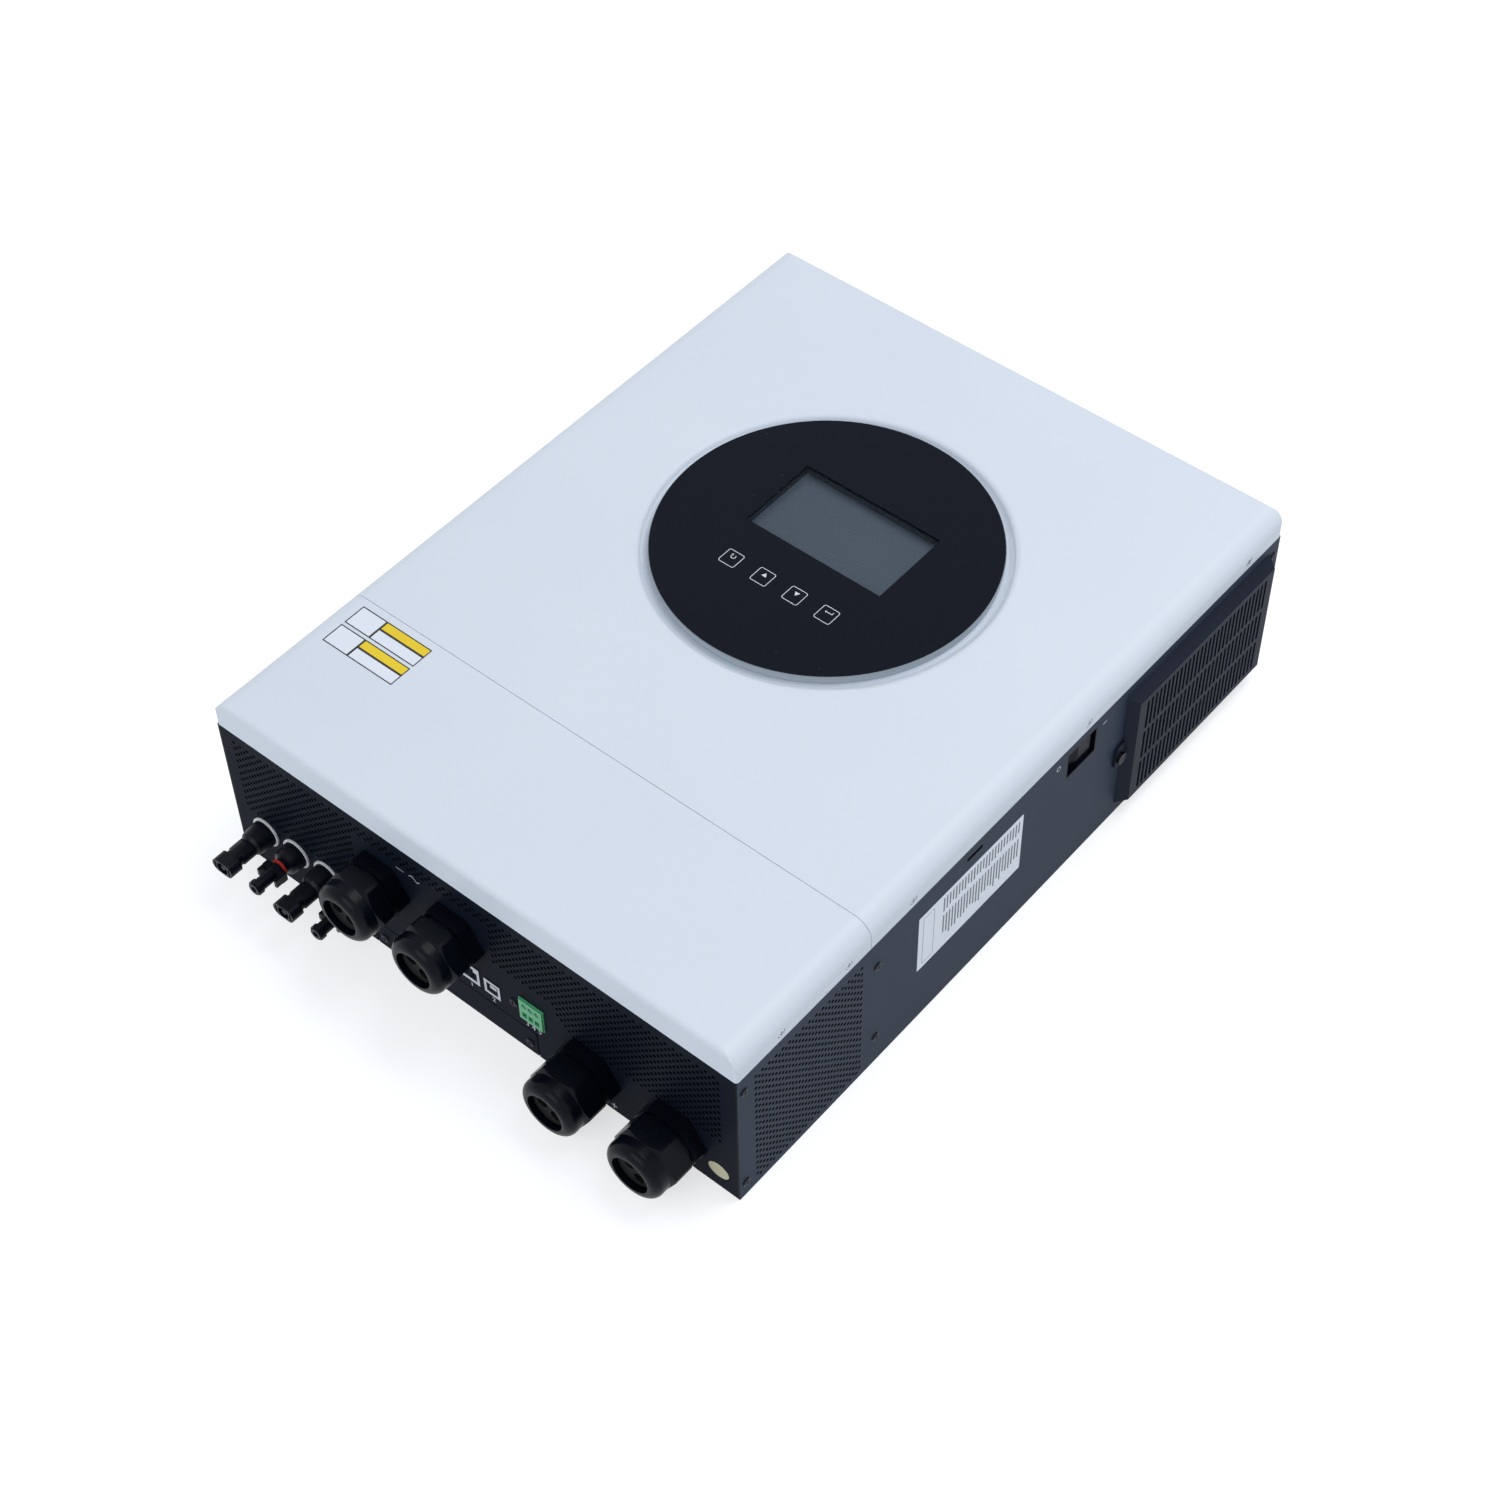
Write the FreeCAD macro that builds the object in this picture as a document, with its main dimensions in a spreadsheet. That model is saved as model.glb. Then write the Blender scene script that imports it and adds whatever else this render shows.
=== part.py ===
"""Wall-hung solar inverter and charger, lying on its back.

Millimetres. +Z points out of the front cover, +Y away from the connector panel (up when it hangs on
a wall) and +X to the right as seen from the front. The origin is the centre of the rear face of the
back plate. Every size that can be set by itself is a cell of the spreadsheet Sizes, and each sub-part
takes its dimensions and its place from those cells.
"""
import FreeCAD
import Part
import Sketcher
import math
import os

Vector = FreeCAD.Vector
Rotation = FreeCAD.Rotation
Placement = FreeCAD.Placement

doc = FreeCAD.newDocument("solar_inverter")
sheet = doc.addObject("Spreadsheet::Sheet", "Sizes")
nodes = []


class Size:
    """A length that carries both its number and the expression that gives it."""

    def __init__(self, value, text):
        self.value = float(value)
        self.text = text

    def __add__(self, other):
        other = as_size(other)
        return Size(self.value + other.value, f"({self.text} + {other.text})")

    def __sub__(self, other):
        other = as_size(other)
        return Size(self.value - other.value, f"({self.text} - {other.text})")

    def __mul__(self, other):
        other = as_size(other)
        return Size(self.value * other.value, f"({self.text} * {other.text})")

    def __truediv__(self, other):
        other = as_size(other)
        return Size(self.value / other.value, f"({self.text} / {other.text})")

    def __neg__(self):
        return Size(-self.value, f"(0 - {self.text})")

    def __radd__(self, other):
        return as_size(other) + self

    def __rsub__(self, other):
        return as_size(other) - self

    def __rmul__(self, other):
        return as_size(other) * self


def as_size(number):
    """A plain number as a Size."""
    if isinstance(number, Size):
        return number
    return Size(number, f"({float(number)})")


def whole(ratio):
    """The whole number of times one length fits into another."""
    return Size(math.floor(ratio.value), f"floor({ratio.text})")


def size(alias, value, note):
    """Write one driving size into the next row of the spreadsheet."""
    row = size.rows = getattr(size, "rows", 0) + 1
    sheet.set(f"A{row}", alias)
    sheet.set(f"B{row}", str(value))
    sheet.set(f"C{row}", note)
    sheet.setAlias(f"B{row}", alias)
    return Size(value, f"Sizes.{alias}")


# ---------------------------------------------------------------- sizes: case
case_width = size("case_width", 422, "outside of one side panel to the other")
case_height = size("case_height", 553.6, "outside of one end panel to the other")
chassis_depth = size("chassis_depth", 123, "back face to the lower edge of the front covers")
cover_depth = size("cover_depth", 22, "height of the front covers above the chassis")
glass_proud = size("glass_proud", 2.4, "display glass above the cover face")
chassis_sheet = size("chassis_sheet", 1.5, "steel sheet of the chassis")
cover_sheet = size("cover_sheet", 1.2, "steel sheet of the front covers")
wiring_depth = size("wiring_depth", 121.2, "connector panel to the split between the covers")
cover_gap = size("cover_gap", 0.4, "open line between the two covers")
long_radius = size("long_radius", 13, "rounding along the long edges of the covers")
end_radius = size("end_radius", 3.5, "bend at the two ends of the covers")
corner_radius = size("corner_radius", 2, "corners of the covers seen from the front")
rail_end = size("rail_end", 10, "ends of the case to a cover rail")
hole_gap = size("hole_gap", 0.2, "radial room around a screw or a part in a panel")
fit_gap = size("fit_gap", 0.05, "radial room of a running fit")
rest_gap = size("rest_gap", 0.3, "room between parts that move past each other")

# ---------------------------------------------------------------- sizes: display
disc_radius = size("disc_radius", 115.4, "black display glass")
disc_from_top = size("disc_from_top", 211.7, "top end to the centre of the display")
glass_thickness = size("glass_thickness", 2.5, "display glass")
glass_chamfer = size("glass_chamfer", 0.5, "ground edge of the glass")
moat_width = size("moat_width", 3.8, "open floor of the recess around the glass")
moat_slope = size("moat_slope", 3.8, "width of the sloping wall of the recess")
moat_depth = size("moat_depth", 4, "cover face to the floor of the recess")
moat_bend = size("moat_bend", 5, "rounding of the recess at the cover face")
moat_foot = size("moat_foot", 4, "rounding of the recess at its floor")
glass_seat = size("glass_seat", 11.4, "width of the seat under the edge of the glass")
window_width = size("window_width", 110, "viewing window in the glass")
window_height = size("window_height", 63.4, "viewing window in the glass")
window_offset = size("window_offset", 16.4, "window centre above the centre of the glass")
lcd_below = size("lcd_below", 6.8, "glass face to the face of the liquid crystal panel")
key_pitch = size("key_pitch", 26.1, "between touch keys")
key_drop = size("key_drop", 48.8, "touch keys below the centre of the glass")
key_hole = size("key_hole", 4, "hole in the display carrier for a key spring")
key_spring = size("key_spring", 3, "radius of a key spring")
key_spring_wire = size("key_spring_wire", 0.8, "thickness of a key spring")
lcd_thickness = size("lcd_thickness", 4, "liquid crystal panel")
well_wall = size("well_wall", 4, "wall of the well around the liquid crystal panel")
post_radius = size("post_radius", 4, "posts between the display carrier and its board")
post_across = size("post_across", 144, "between the left and right posts")
post_above = size("post_above", 60, "posts above the centre of the glass")
post_below = size("post_below", 62, "posts below the centre of the glass")
display_board_width = size("display_board_width", 160, "board behind the display")
display_board_edge = size("display_board_edge", 8, "posts to the upper and lower edges of that board")

# ---------------------------------------------------------------- sizes: ventilation
vent_radius = size("vent_radius", 1.25, "round ventilation hole")
vent_pitch = size("vent_pitch", 6.03, "between holes of one row")
vent_margin = size("vent_margin", 12.6, "side of the case to the first column")
vent_top = size("vent_top", 113.8, "back face to the top row")
vent_bottom = size("vent_bottom", 50.1, "back face to the lowest row of the connector panel")
left_vents = size("left_vents", 101.4, "width of the left block of the connector panel")
blank_width = size("blank_width", 114.5, "plain stretch between the two blocks")
vent_shelf = size("vent_shelf", 15.5, "relay terminal to the first row above it")
vent_slope_start = size("vent_slope_start", 7, "relay terminal to where the rows begin to step down")
vent_slope = size("vent_slope", 15.3, "width over which the rows step down")
side_vents = size("side_vents", 98, "width of the block in each side panel")
side_vent_in = size("side_vent_in", 16.4, "connector end to the first column of the side panels")
side_vent_top = size("side_vent_top", 112.5, "back face to the top row of the side panels")
side_vent_bottom = size("side_vent_bottom", 6.3, "back face to the lowest row of the side panels")
exhaust_slot = size("exhaust_slot", 26, "length of one exhaust slot")
exhaust_pitch = size("exhaust_pitch", 6, "between exhaust slots")

# ---------------------------------------------------------------- sizes: connectors
gland_thread = size("gland_thread", 32, "outer diameter of the gland thread")
gland_flats = size("gland_flats", 43, "across the flats of the dome nut")
gland_bore = size("gland_bore", 25, "bore of the gland body")
gland_mouth = size("gland_mouth", 27.5, "mouth of the dome nut")
ac_gland_reach = size("ac_gland_reach", 37, "connector panel to the front of a mains gland")
dc_gland_reach = size("dc_gland_reach", 41.5, "connector panel to the front of a battery gland")
gland_collar = size("gland_collar", 10, "fixed hexagon of the gland body")
gland_crown = size("gland_crown", 6.4, "rounding at the front of the dome nut")
lock_nut = size("lock_nut", 6, "lock nut of a gland behind the panel")
seal_start = size("seal_start", 13, "connector panel to the back of the seal")
seal_inset = size("seal_inset", 4, "front of a gland to the face of its seal")
seal_hole = size("seal_hole", 8, "diameter of a cable hole in the seal")
seal_pitch = size("seal_pitch", 11.4, "between the two cable holes of a seal")
ac_gland_from_left = size("ac_gland_from_left", 136.4, "left side to the mains input gland")
ac_gland_pitch = size("ac_gland_pitch", 62.3, "between the mains glands")
ac_gland_up = size("ac_gland_up", 74.6, "back face to the axis of the mains glands")
dc_gland_from_right = size("dc_gland_from_right", 49, "right side to the second battery gland")
dc_gland_pitch = size("dc_gland_pitch", 67.5, "between the battery glands")
dc_gland_up = size("dc_gland_up", 29, "back face to the axis of the battery glands")
pv_from_left = size("pv_from_left", 26.5, "left side to the first solar connector")
pv_pitch = size("pv_pitch", 27.7, "between solar connectors")
pv_up = size("pv_up", 36, "back face to the axis of the solar connectors")
pv_thread = size("pv_thread", 14, "thread of a solar connector through the panel")
pv_washer = size("pv_washer", 22.5, "diameter of the white washer")
pv_washer_sheet = size("pv_washer_sheet", 1.2, "thickness of the white washer")
pv_nut_flats = size("pv_nut_flats", 19, "lock nut of a solar connector")
pv_nut = size("pv_nut", 5, "thickness of that lock nut")
pv_flange = size("pv_flange", 9.7, "largest radius of a solar connector's barrel")
pv_neck = size("pv_neck", 5.4, "radius of a slim connector's neck")
pv_ring = size("pv_ring", 1.6, "width of the red ring")
pv_wide_reach = size("pv_wide_reach", 39.2, "connector panel to the front of a wide connector")
pv_wide_sleeve = size("pv_wide_sleeve", 13.4, "width of a wide connector's sleeve")
pv_wide_height = size("pv_wide_height", 11, "height of a wide connector's sleeve and head")
pv_wide_head = size("pv_wide_head", 18, "width of a wide connector across its prongs")
pv_wide_mouth = size("pv_wide_mouth", 4.6, "radius of a wide connector's mouth")
pv_contact = size("pv_contact", 1.8, "radius of the contact in that mouth")
pv_slim_sleeve = size("pv_slim_sleeve", 4.4, "radius of a slim connector's sleeve")
pv_slim_bore = size("pv_slim_bore", 2.2, "radius of the socket in that sleeve")
pv_slim_reach = size("pv_slim_reach", 38, "connector panel to the front of a slim connector")
port_floor = size("port_floor", 33.1, "back face to the upper side of the port board")
network_width = size("network_width", 15.9, "shielded network jack")
network_height = size("network_height", 16.2, "shielded network jack")
usb_width = size("usb_width", 13.3, "square data port")
usb_height = size("usb_height", 13.5, "square data port")
relay_width = size("relay_width", 20, "socket of the relay terminal")
relay_height = size("relay_height", 20.4, "socket of the relay terminal")
port_depth = size("port_depth", 17, "jacks behind the connector panel")
port_proud = size("port_proud", 0.5, "jacks out of the connector panel")
network_from_left = size("network_from_left", 199, "left side to the network jack")
usb_from_left = size("usb_from_left", 218.9, "left side to the data port")
relay_from_left = size("relay_from_left", 248.7, "left side to the relay terminal")
relay_pitch = size("relay_pitch", 5.08, "between the wires of the relay terminal")
relay_wall = size("relay_wall", 0.6, "wall of the relay terminal's socket")
relay_proud = size("relay_proud", 1.6, "relay plug out of the connector panel")
relay_screw_down = size("relay_screw_down", 5.6, "top of the relay terminal to its screws")
relay_wire_up = size("relay_wire_up", 5.8, "foot of the relay terminal to its wire mouths")
network_mouth = size("network_mouth", 11.7, "width of the network jack's mouth")
network_latch = size("network_latch", 6, "width of the latch way above that mouth")
usb_cavity = size("usb_cavity", 9.4, "width inside the data port")
usb_tongue = size("usb_tongue", 5.6, "width of the tongue in the data port")
board_screw_from_left = size("board_screw_from_left", 243.2, "left side to the port board's screw")
board_screw_up = size("board_screw_up", 8.8, "port board to its screw through the panel")
port_board_depth = size("port_board_depth", 61.5, "port board behind the connector panel")
blank_from_left = size("blank_from_left", 121.5, "left side to the blanking plate notch")
blank_length = size("blank_length", 139.7, "length of the blanking plate notch")
blank_height = size("blank_height", 23.6, "height of the blanking plate notch")
blank_screw_up = size("blank_screw_up", 9, "back face to the screws of the blanking plate")
blank_screw_in = size("blank_screw_in", 7.3, "end of the notch to the plate's screw")
blank_gap = size("blank_gap", 0.9, "open line around the blanking plate")

# ---------------------------------------------------------------- sizes: right side
dust_margin = size("dust_margin", 10.8, "top end to the dust cover")
dust_over = size("dust_over", 0.1, "dust cover longer than the pair of fans")
dust_border = size("dust_border", 11.8, "side of a fan to the side of the dust cover")
dust_up = size("dust_up", 62.5, "back face to the centre of the dust cover")
dust_proud = size("dust_proud", 7.7, "dust cover out of the side panel")
dust_slope = size("dust_slope", 4.7, "width of its sloping border")
dust_wall = size("dust_wall", 2, "moulded wall of the dust cover")
slot_pitch = size("slot_pitch", 4.62, "between slots of the dust cover")
slot_width = size("slot_width", 2.5, "slot of the dust cover")
slot_length = size("slot_length", 25.9, "slot of the dust cover")
slot_row = size("slot_row", 29.6, "between rows of slots")
slot_margin = size("slot_margin", 7, "end of the dust cover's flat face to its first slot")
ear_reach = size("ear_reach", 8.4, "screw ear out of the dust cover")
ear_height = size("ear_height", 22, "screw ear along the end of the dust cover")
dust_tab = size("dust_tab", 10, "width of a locating tab at the upper end of the dust cover")
dust_tab_sheet = size("dust_tab_sheet", 1.4, "thickness of a locating tab")
dust_tab_in = size("dust_tab_in", 0.5, "upper end of the dust cover to its locating tabs")
dust_tab_pitch = size("dust_tab_pitch", 44, "between the two locating tabs")
fan_width = size("fan_width", 80, "square frame of a fan")
fan_depth = size("fan_depth", 25, "frame of a fan")
fan_space = size("fan_space", 2, "between the two fans")
fan_rim = size("fan_rim", 2, "air way of a fan to the edge of its frame")
fan_strut = size("fan_strut", 3, "thickness of a fan's spokes")
fan_pin = size("fan_pin", 1.5, "radius of a fan's shaft")
fan_screw = size("fan_screw", 2.2, "radius of the screw holes in a fan's corners")
fan_screw_in = size("fan_screw_in", 4.3, "edge of a fan to its screw holes")
hub_radius = size("hub_radius", 17, "hub of a fan rotor")
blade_gap = size("blade_gap", 1, "blade tip to the frame")
switch_gap = size("switch_gap", 32, "dust cover to the opening for the power switch")
switch_up = size("switch_up", 105.1, "back face to the centre of the power switch")
switch_length = size("switch_length", 32.3, "opening for the power switch")
switch_width = size("switch_width", 23.8, "opening for the power switch")
switch_wall = size("switch_wall", 1.3, "moulded wall of the switch housing")
switch_depth = size("switch_depth", 21, "switch housing behind the face of the side panel")
switch_tab = size("switch_tab", 6.3, "width of a flat terminal behind the switch")
rocker_pivot = size("rocker_pivot", 9, "face of the side panel to the axis of the rocker")
rocker_pin = size("rocker_pin", 1.5, "radius of the rocker's side pins")
rocker_rise = size("rocker_rise", 7, "ridge of the rocker above its axis")
slit_from_top = size("slit_from_top", 331.7, "top end to the small slit in the right side")
slit_up = size("slit_up", 113.6, "back face to that slit")
slit_length = size("slit_length", 15.2, "small slit in the right side")
slit_width = size("slit_width", 3, "small slit in the right side")
rocker_swing = size("rocker_swing", 16, "travel of the rocker in degrees")

# ---------------------------------------------------------------- sizes: fasteners and inside
cover_screw_up = size("cover_screw_up", 6, "chassis edge to the screws of the covers")
cover_screw_1 = size("cover_screw_1", 39.6, "connector end to the first cover screw")
cover_screw_2 = size("cover_screw_2", 20.7, "second cover screw below the split")
cover_screw_3 = size("cover_screw_3", 39.9, "third cover screw above the split")
cover_screw_4 = size("cover_screw_4", 215.7, "top end to the fourth cover screw")
cover_screw_5 = size("cover_screw_5", 38.4, "top end to the last cover screw")
flange_low = size("flange_low", 13.4, "back face to the lower screws of the corner brackets")
flange_high = size("flange_high", 108.6, "back face to their upper screws")
divider_low = size("divider_low", 26.4, "back face to the lower screws of the divider")
divider_high = size("divider_high", 98.8, "back face to its upper screws")
flange_in = size("flange_in", 6, "end of the case to the screws of the corner brackets")
divider_flange = size("divider_flange", 6.8, "divider face to the screws in its flange")
screw_head = size("screw_head", 3.2, "radius of a case screw head")
screw_shank = size("screw_shank", 1.9, "radius of a case screw")
ear_screw_head = size("ear_screw_head", 4.2, "radius of a dust cover screw's head")
bracket_short = size("bracket_short", 8, "corner brackets end below the chassis edge")
bracket_leg = size("bracket_leg", 8, "corner bracket leg")
divider_leg = size("divider_leg", 13, "flange of the divider plate")
wall_row_in = size("wall_row_in", 36, "end of the case to a row of wall fixings")
wall_hole_pitch = size("wall_hole_pitch", 300, "between the wall fixings of one row")
wall_hole = size("wall_hole", 3.25, "radius of a wall fixing hole")
keyhole_head = size("keyhole_head", 6.5, "radius of the wide end of a keyhole")
keyhole_drop = size("keyhole_drop", 13, "wide end to narrow end of a keyhole")
battery_post = size("battery_post", 22, "height of a battery terminal block")
battery_bar = size("battery_bar", 3, "copper bar of a battery terminal")
board_sheet = size("board_sheet", 1.6, "printed circuit board")
board_up = size("board_up", 14, "back face to the underside of the power board")
sink_height = size("sink_height", 76, "height of a heat sink")
sink_width = size("sink_width", 64, "width of a heat sink")
fin_pitch = size("fin_pitch", 7, "between the fins of a heat sink")
fin_count = size("fin_count", 10, "fins of a heat sink")
sink_web = size("sink_web", 6, "upright wall of a heat sink")
board_leg = size("board_leg", 3, "radius of a board's legs")
board_leg_in = size("board_leg_in", 6, "edge of the power board to its legs")
transistor_width = size("transistor_width", 15.9, "power transistor")
transistor_height = size("transistor_height", 26, "power transistor on the board")
transistor_pitch = size("transistor_pitch", 36, "between power transistors")
capacitor_radius = size("capacitor_radius", 17.5, "bus capacitor")
capacitor_height = size("capacitor_height", 50, "bus capacitor")
capacitor_pitch = size("capacitor_pitch", 42, "between bus capacitors")
transformer_width = size("transformer_width", 66, "transformer across the case")
transformer_length = size("transformer_length", 44, "transformer along the case")
transformer_height = size("transformer_height", 54, "transformer on the board")
transformer_pitch = size("transformer_pitch", 78, "between transformers")
choke_radius = size("choke_radius", 22, "wound choke")
choke_bore = size("choke_bore", 9, "hole of a wound choke")
choke_height = size("choke_height", 24, "wound choke on the board")
choke_pitch = size("choke_pitch", 56, "between chokes")
control_width = size("control_width", 120, "upright control board")
control_height = size("control_height", 70, "upright control board")
terminal_pitch = size("terminal_pitch", 14.5, "between the mains terminals")
terminal_width = size("terminal_width", 92, "mains terminal block")
terminal_height = size("terminal_height", 26, "mains terminal block")
terminal_floor = size("terminal_floor", 16, "foot of the block to the floor of its pits")
terminal_length = size("terminal_length", 34, "terminal blocks along the case")
battery_bar_width = size("battery_bar_width", 20, "copper bar of a battery terminal")
battery_stud = size("battery_stud", 4, "radius of a battery stud")

# ---------------------------------------------------------------- derived planes
half_width = case_width / 2
left = -half_width
right = half_width
bottom = -(case_height / 2)
top = case_height / 2
inner_left = left + chassis_sheet
inner_right = right - chassis_sheet
inner_bottom = bottom + chassis_sheet
inner_top = top - chassis_sheet
cover_face = chassis_depth + cover_depth
glass_face = cover_face + glass_proud
split = bottom + wiring_depth
disc_y = top - disc_from_top
moat_radius = disc_radius + moat_width
moat_lip = moat_radius + moat_slope
cover_hole = disc_radius - glass_seat
fan_opening = fan_width / 2 - fan_rim
dust_length = 2 * fan_width + fan_space + dust_over
dust_height = fan_width + 2 * dust_border
slot_columns = whole((dust_length - 2 * (dust_slope + slot_margin)) / slot_pitch)
dust_y = top - dust_margin - dust_length / 2
switch_y = dust_y - dust_length / 2 - switch_gap - switch_length / 2

TOWARDS = {
    "+x": Rotation(Vector(0, 1, 0), 90),
    "-x": Rotation(Vector(0, 1, 0), -90),
    "+y": Rotation(Vector(1, 0, 0), -90),
    "-y": Rotation(Vector(1, 0, 0), 90),
    "+z": Rotation(),
    "-z": Rotation(Vector(1, 0, 0), 180),
}


# ---------------------------------------------------------------- helpers: primitives
def bind(obj, prop, length):
    """Drive one property of an object from the spreadsheet."""
    obj.setExpression(prop, as_size(length).text)


def place(obj, spot, towards="+z"):
    """Stand an object's own Z axis at a point, pointing one way."""
    obj.Placement = Placement(Vector(), TOWARDS[towards])
    for axis, length in zip("xyz", spot):
        bind(obj, f"Placement.Base.{axis}", length)
    return obj


def block(name, x, y, z):
    """A box between two values on each axis."""
    box = doc.addObject("Part::Box", name)
    for prop, span in zip(("Length", "Width", "Height"), (x, y, z)):
        bind(box, prop, span[1] - span[0])
    return place(box, (x[0], y[0], z[0]))


def about(centre, width):
    """The two ends of a span of one width about a centre."""
    return (centre - width / 2, centre + width / 2)


def rod(name, radius, length, spot, towards="+z"):
    """A cylinder from a point, pointing one way."""
    cylinder = doc.addObject("Part::Cylinder", name)
    bind(cylinder, "Radius", radius)
    bind(cylinder, "Height", length)
    return place(cylinder, spot, towards)


def tube(name, outer, inner, length, spot, towards="+z"):
    """A round tube from a point, pointing one way."""
    return cut(name, rod(name + "_outside", outer, length, spot, towards),
               rod(name + "_inside", inner, length, spot, towards))


def cut(name, base, *tools):
    """One object less some others."""
    result = doc.addObject("Part::Cut", name)
    result.Base = base
    result.Tool = tools[0] if len(tools) == 1 else fuse(name + "_tools", *tools)
    return result


def fuse(name, *pieces):
    """Several touching objects joined into one solid."""
    result = doc.addObject("Part::MultiFuse", name)
    result.Shapes = list(pieces)
    result.Refine = True
    return result


def common(name, *pieces):
    """What several objects share."""
    result = doc.addObject("Part::MultiCommon", name)
    result.Shapes = list(pieces)
    return result


def group(name, *pieces):
    """Separate solids that share one node."""
    result = doc.addObject("Part::Compound", name)
    result.Links = list(pieces)
    return result


def node(label, obj):
    """Name a finished sub-part; it is written to its own file."""
    obj.Label = label
    nodes.append(obj)
    return obj


# ---------------------------------------------------------------- helpers: bodies
def new_body(name):
    return doc.addObject("PartDesign::Body", name)


def sketch_on(body, name, role, offset=0):
    """A sketch on one of the body's own origin planes, moved along the plane's normal."""
    sketch = body.newObject("Sketcher::SketchObject", name)
    plane = next(item for item in body.Origin.OriginFeatures if item.Role == role)
    sketch.AttachmentSupport = [(plane, "")]
    sketch.MapMode = "FlatFace"
    bind(sketch, "AttachmentOffset.Base.z", offset)
    return sketch


def hold_point(sketch, geometry, point, spot):
    """Hold one point of a sketch at two sizes from its origin."""
    for kind, length in zip(("DistanceX", "DistanceY"), spot):
        index = sketch.addConstraint(Sketcher.Constraint(kind, -1, 1, geometry, point, length.value))
        bind(sketch, f"Constraints[{index}]", length)


def outline(sketch, corners):
    """A closed chain of straight lines through corners that are held by their sizes."""
    corners = [(as_size(x), as_size(y)) for x, y in corners]
    first = sketch.GeometryCount
    points = [Vector(x.value, y.value, 0) for x, y in corners]
    for here, there in zip(points, points[1:] + points[:1]):
        sketch.addGeometry(Part.LineSegment(here, there), False)
    count = len(corners)
    for index in range(count):
        after = first + (index + 1) % count
        sketch.addConstraint(Sketcher.Constraint("Coincident", first + index, 2, after, 1))
    for index, spot in enumerate(corners):
        hold_point(sketch, first + index, 1, spot)


def rectangle(sketch, x, y):
    """A rectangle between two values on each axis of the sketch."""
    outline(sketch, [(x[0], y[0]), (x[1], y[0]), (x[1], y[1]), (x[0], y[1])])


def circle(sketch, x, y, radius):
    """A circle held by its centre and radius."""
    x, y, radius = as_size(x), as_size(y), as_size(radius)
    shape = Part.Circle(Vector(x.value, y.value, 0), Vector(0, 0, 1), radius.value)
    index = sketch.addGeometry(shape, False)
    hold_point(sketch, index, 3, (x, y))
    held = sketch.addConstraint(Sketcher.Constraint("Radius", index, radius.value))
    bind(sketch, f"Constraints[{held}]", radius)


def pad(body, sketch, length, reverse=False):
    feature = body.newObject("PartDesign::Pad", sketch.Name + "_pad")
    feature.Profile = sketch
    bind(feature, "Length", length)
    feature.Reversed = reverse
    return feature


def pocket(body, sketch, length, reverse=False):
    """Cut a sketch into the body: against the sketch's normal, or along it when reversed."""
    feature = body.newObject("PartDesign::Pocket", sketch.Name + "_pocket")
    feature.Profile = sketch
    bind(feature, "Length", length)
    feature.Reversed = reverse
    return feature


def revolve(body, sketch):
    """Turn a sketch of the XZ plane about the body's Z axis."""
    feature = body.newObject("PartDesign::Revolution", sketch.Name + "_turn")
    feature.Profile = sketch
    feature.ReferenceAxis = (sketch, ["V_Axis"])
    feature.Angle = 360
    return feature


def origin_axis(body, role):
    return next(item for item in body.Origin.OriginFeatures if item.Role == role)


def polar(body, feature, count):
    """Repeat a feature evenly about the body's Z axis."""
    pattern = body.newObject("PartDesign::PolarPattern", feature.Name + "_round")
    pattern.Originals = [feature]
    pattern.Axis = (origin_axis(body, "Z_Axis"), [""])
    pattern.Angle = 360
    bind(pattern, "Occurrences", count)
    body.Tip = pattern
    return pattern


def linear(body, feature, role, length, count):
    """Repeat a feature along one of the body's axes, over a length."""
    pattern = body.newObject("PartDesign::LinearPattern", f"{feature.Name}_{role[0]}_row")
    pattern.Originals = [feature]
    pattern.Direction = (origin_axis(body, role), [""])
    bind(pattern, "Length", length)
    bind(pattern, "Occurrences", count)
    body.Tip = pattern
    return pattern


def edges(feature, wanted):
    """The names of the edges for which wanted(edge) is true."""
    doc.recompute()
    return [f"Edge{index + 1}" for index, edge in enumerate(feature.Shape.Edges) if wanted(edge)]


def fillet(body, feature, radius, wanted):
    """Round the chosen edges of the body's last feature."""
    rounded = body.newObject("PartDesign::Fillet", feature.Name + "_fillet")
    rounded.Base = (feature, edges(feature, wanted))
    bind(rounded, "Radius", radius)
    return rounded


def chamfer(body, feature, width, wanted):
    """Bevel the chosen edges of the body's last feature."""
    bevel = body.newObject("PartDesign::Chamfer", feature.Name + "_chamfer")
    bevel.Base = (feature, edges(feature, wanted))
    bind(bevel, "Size", width)
    return bevel


def near(value, target):
    return abs(value - as_size(target).value) < 0.01


def is_ring(radius, height):
    """Picks circular edges about the body's Z axis at one radius and height."""
    def wanted(edge):
        curve = edge.Curve
        round_edge = isinstance(curve, Part.Circle) and near(curve.Radius, radius)
        return round_edge and near(curve.Center.z, height)
    return wanted


def runs_along(axis, test):
    """Picks straight edges along one axis whose middle passes a test."""
    def wanted(edge):
        if not isinstance(edge.Curve, Part.Line):
            return False
        along = abs(getattr(edge.Curve.Direction, axis)) > 0.999
        return along and test(edge.CenterOfMass)
    return wanted


# ---------------------------------------------------------------- helpers: sheet metal
def round_wire(x, y, radius):
    """A round hole in a sheet that is drawn in its own XY plane."""
    return Part.Wire(Part.makeCircle(radius, Vector(x, y, 0), Vector(0, 0, -1)))


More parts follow.
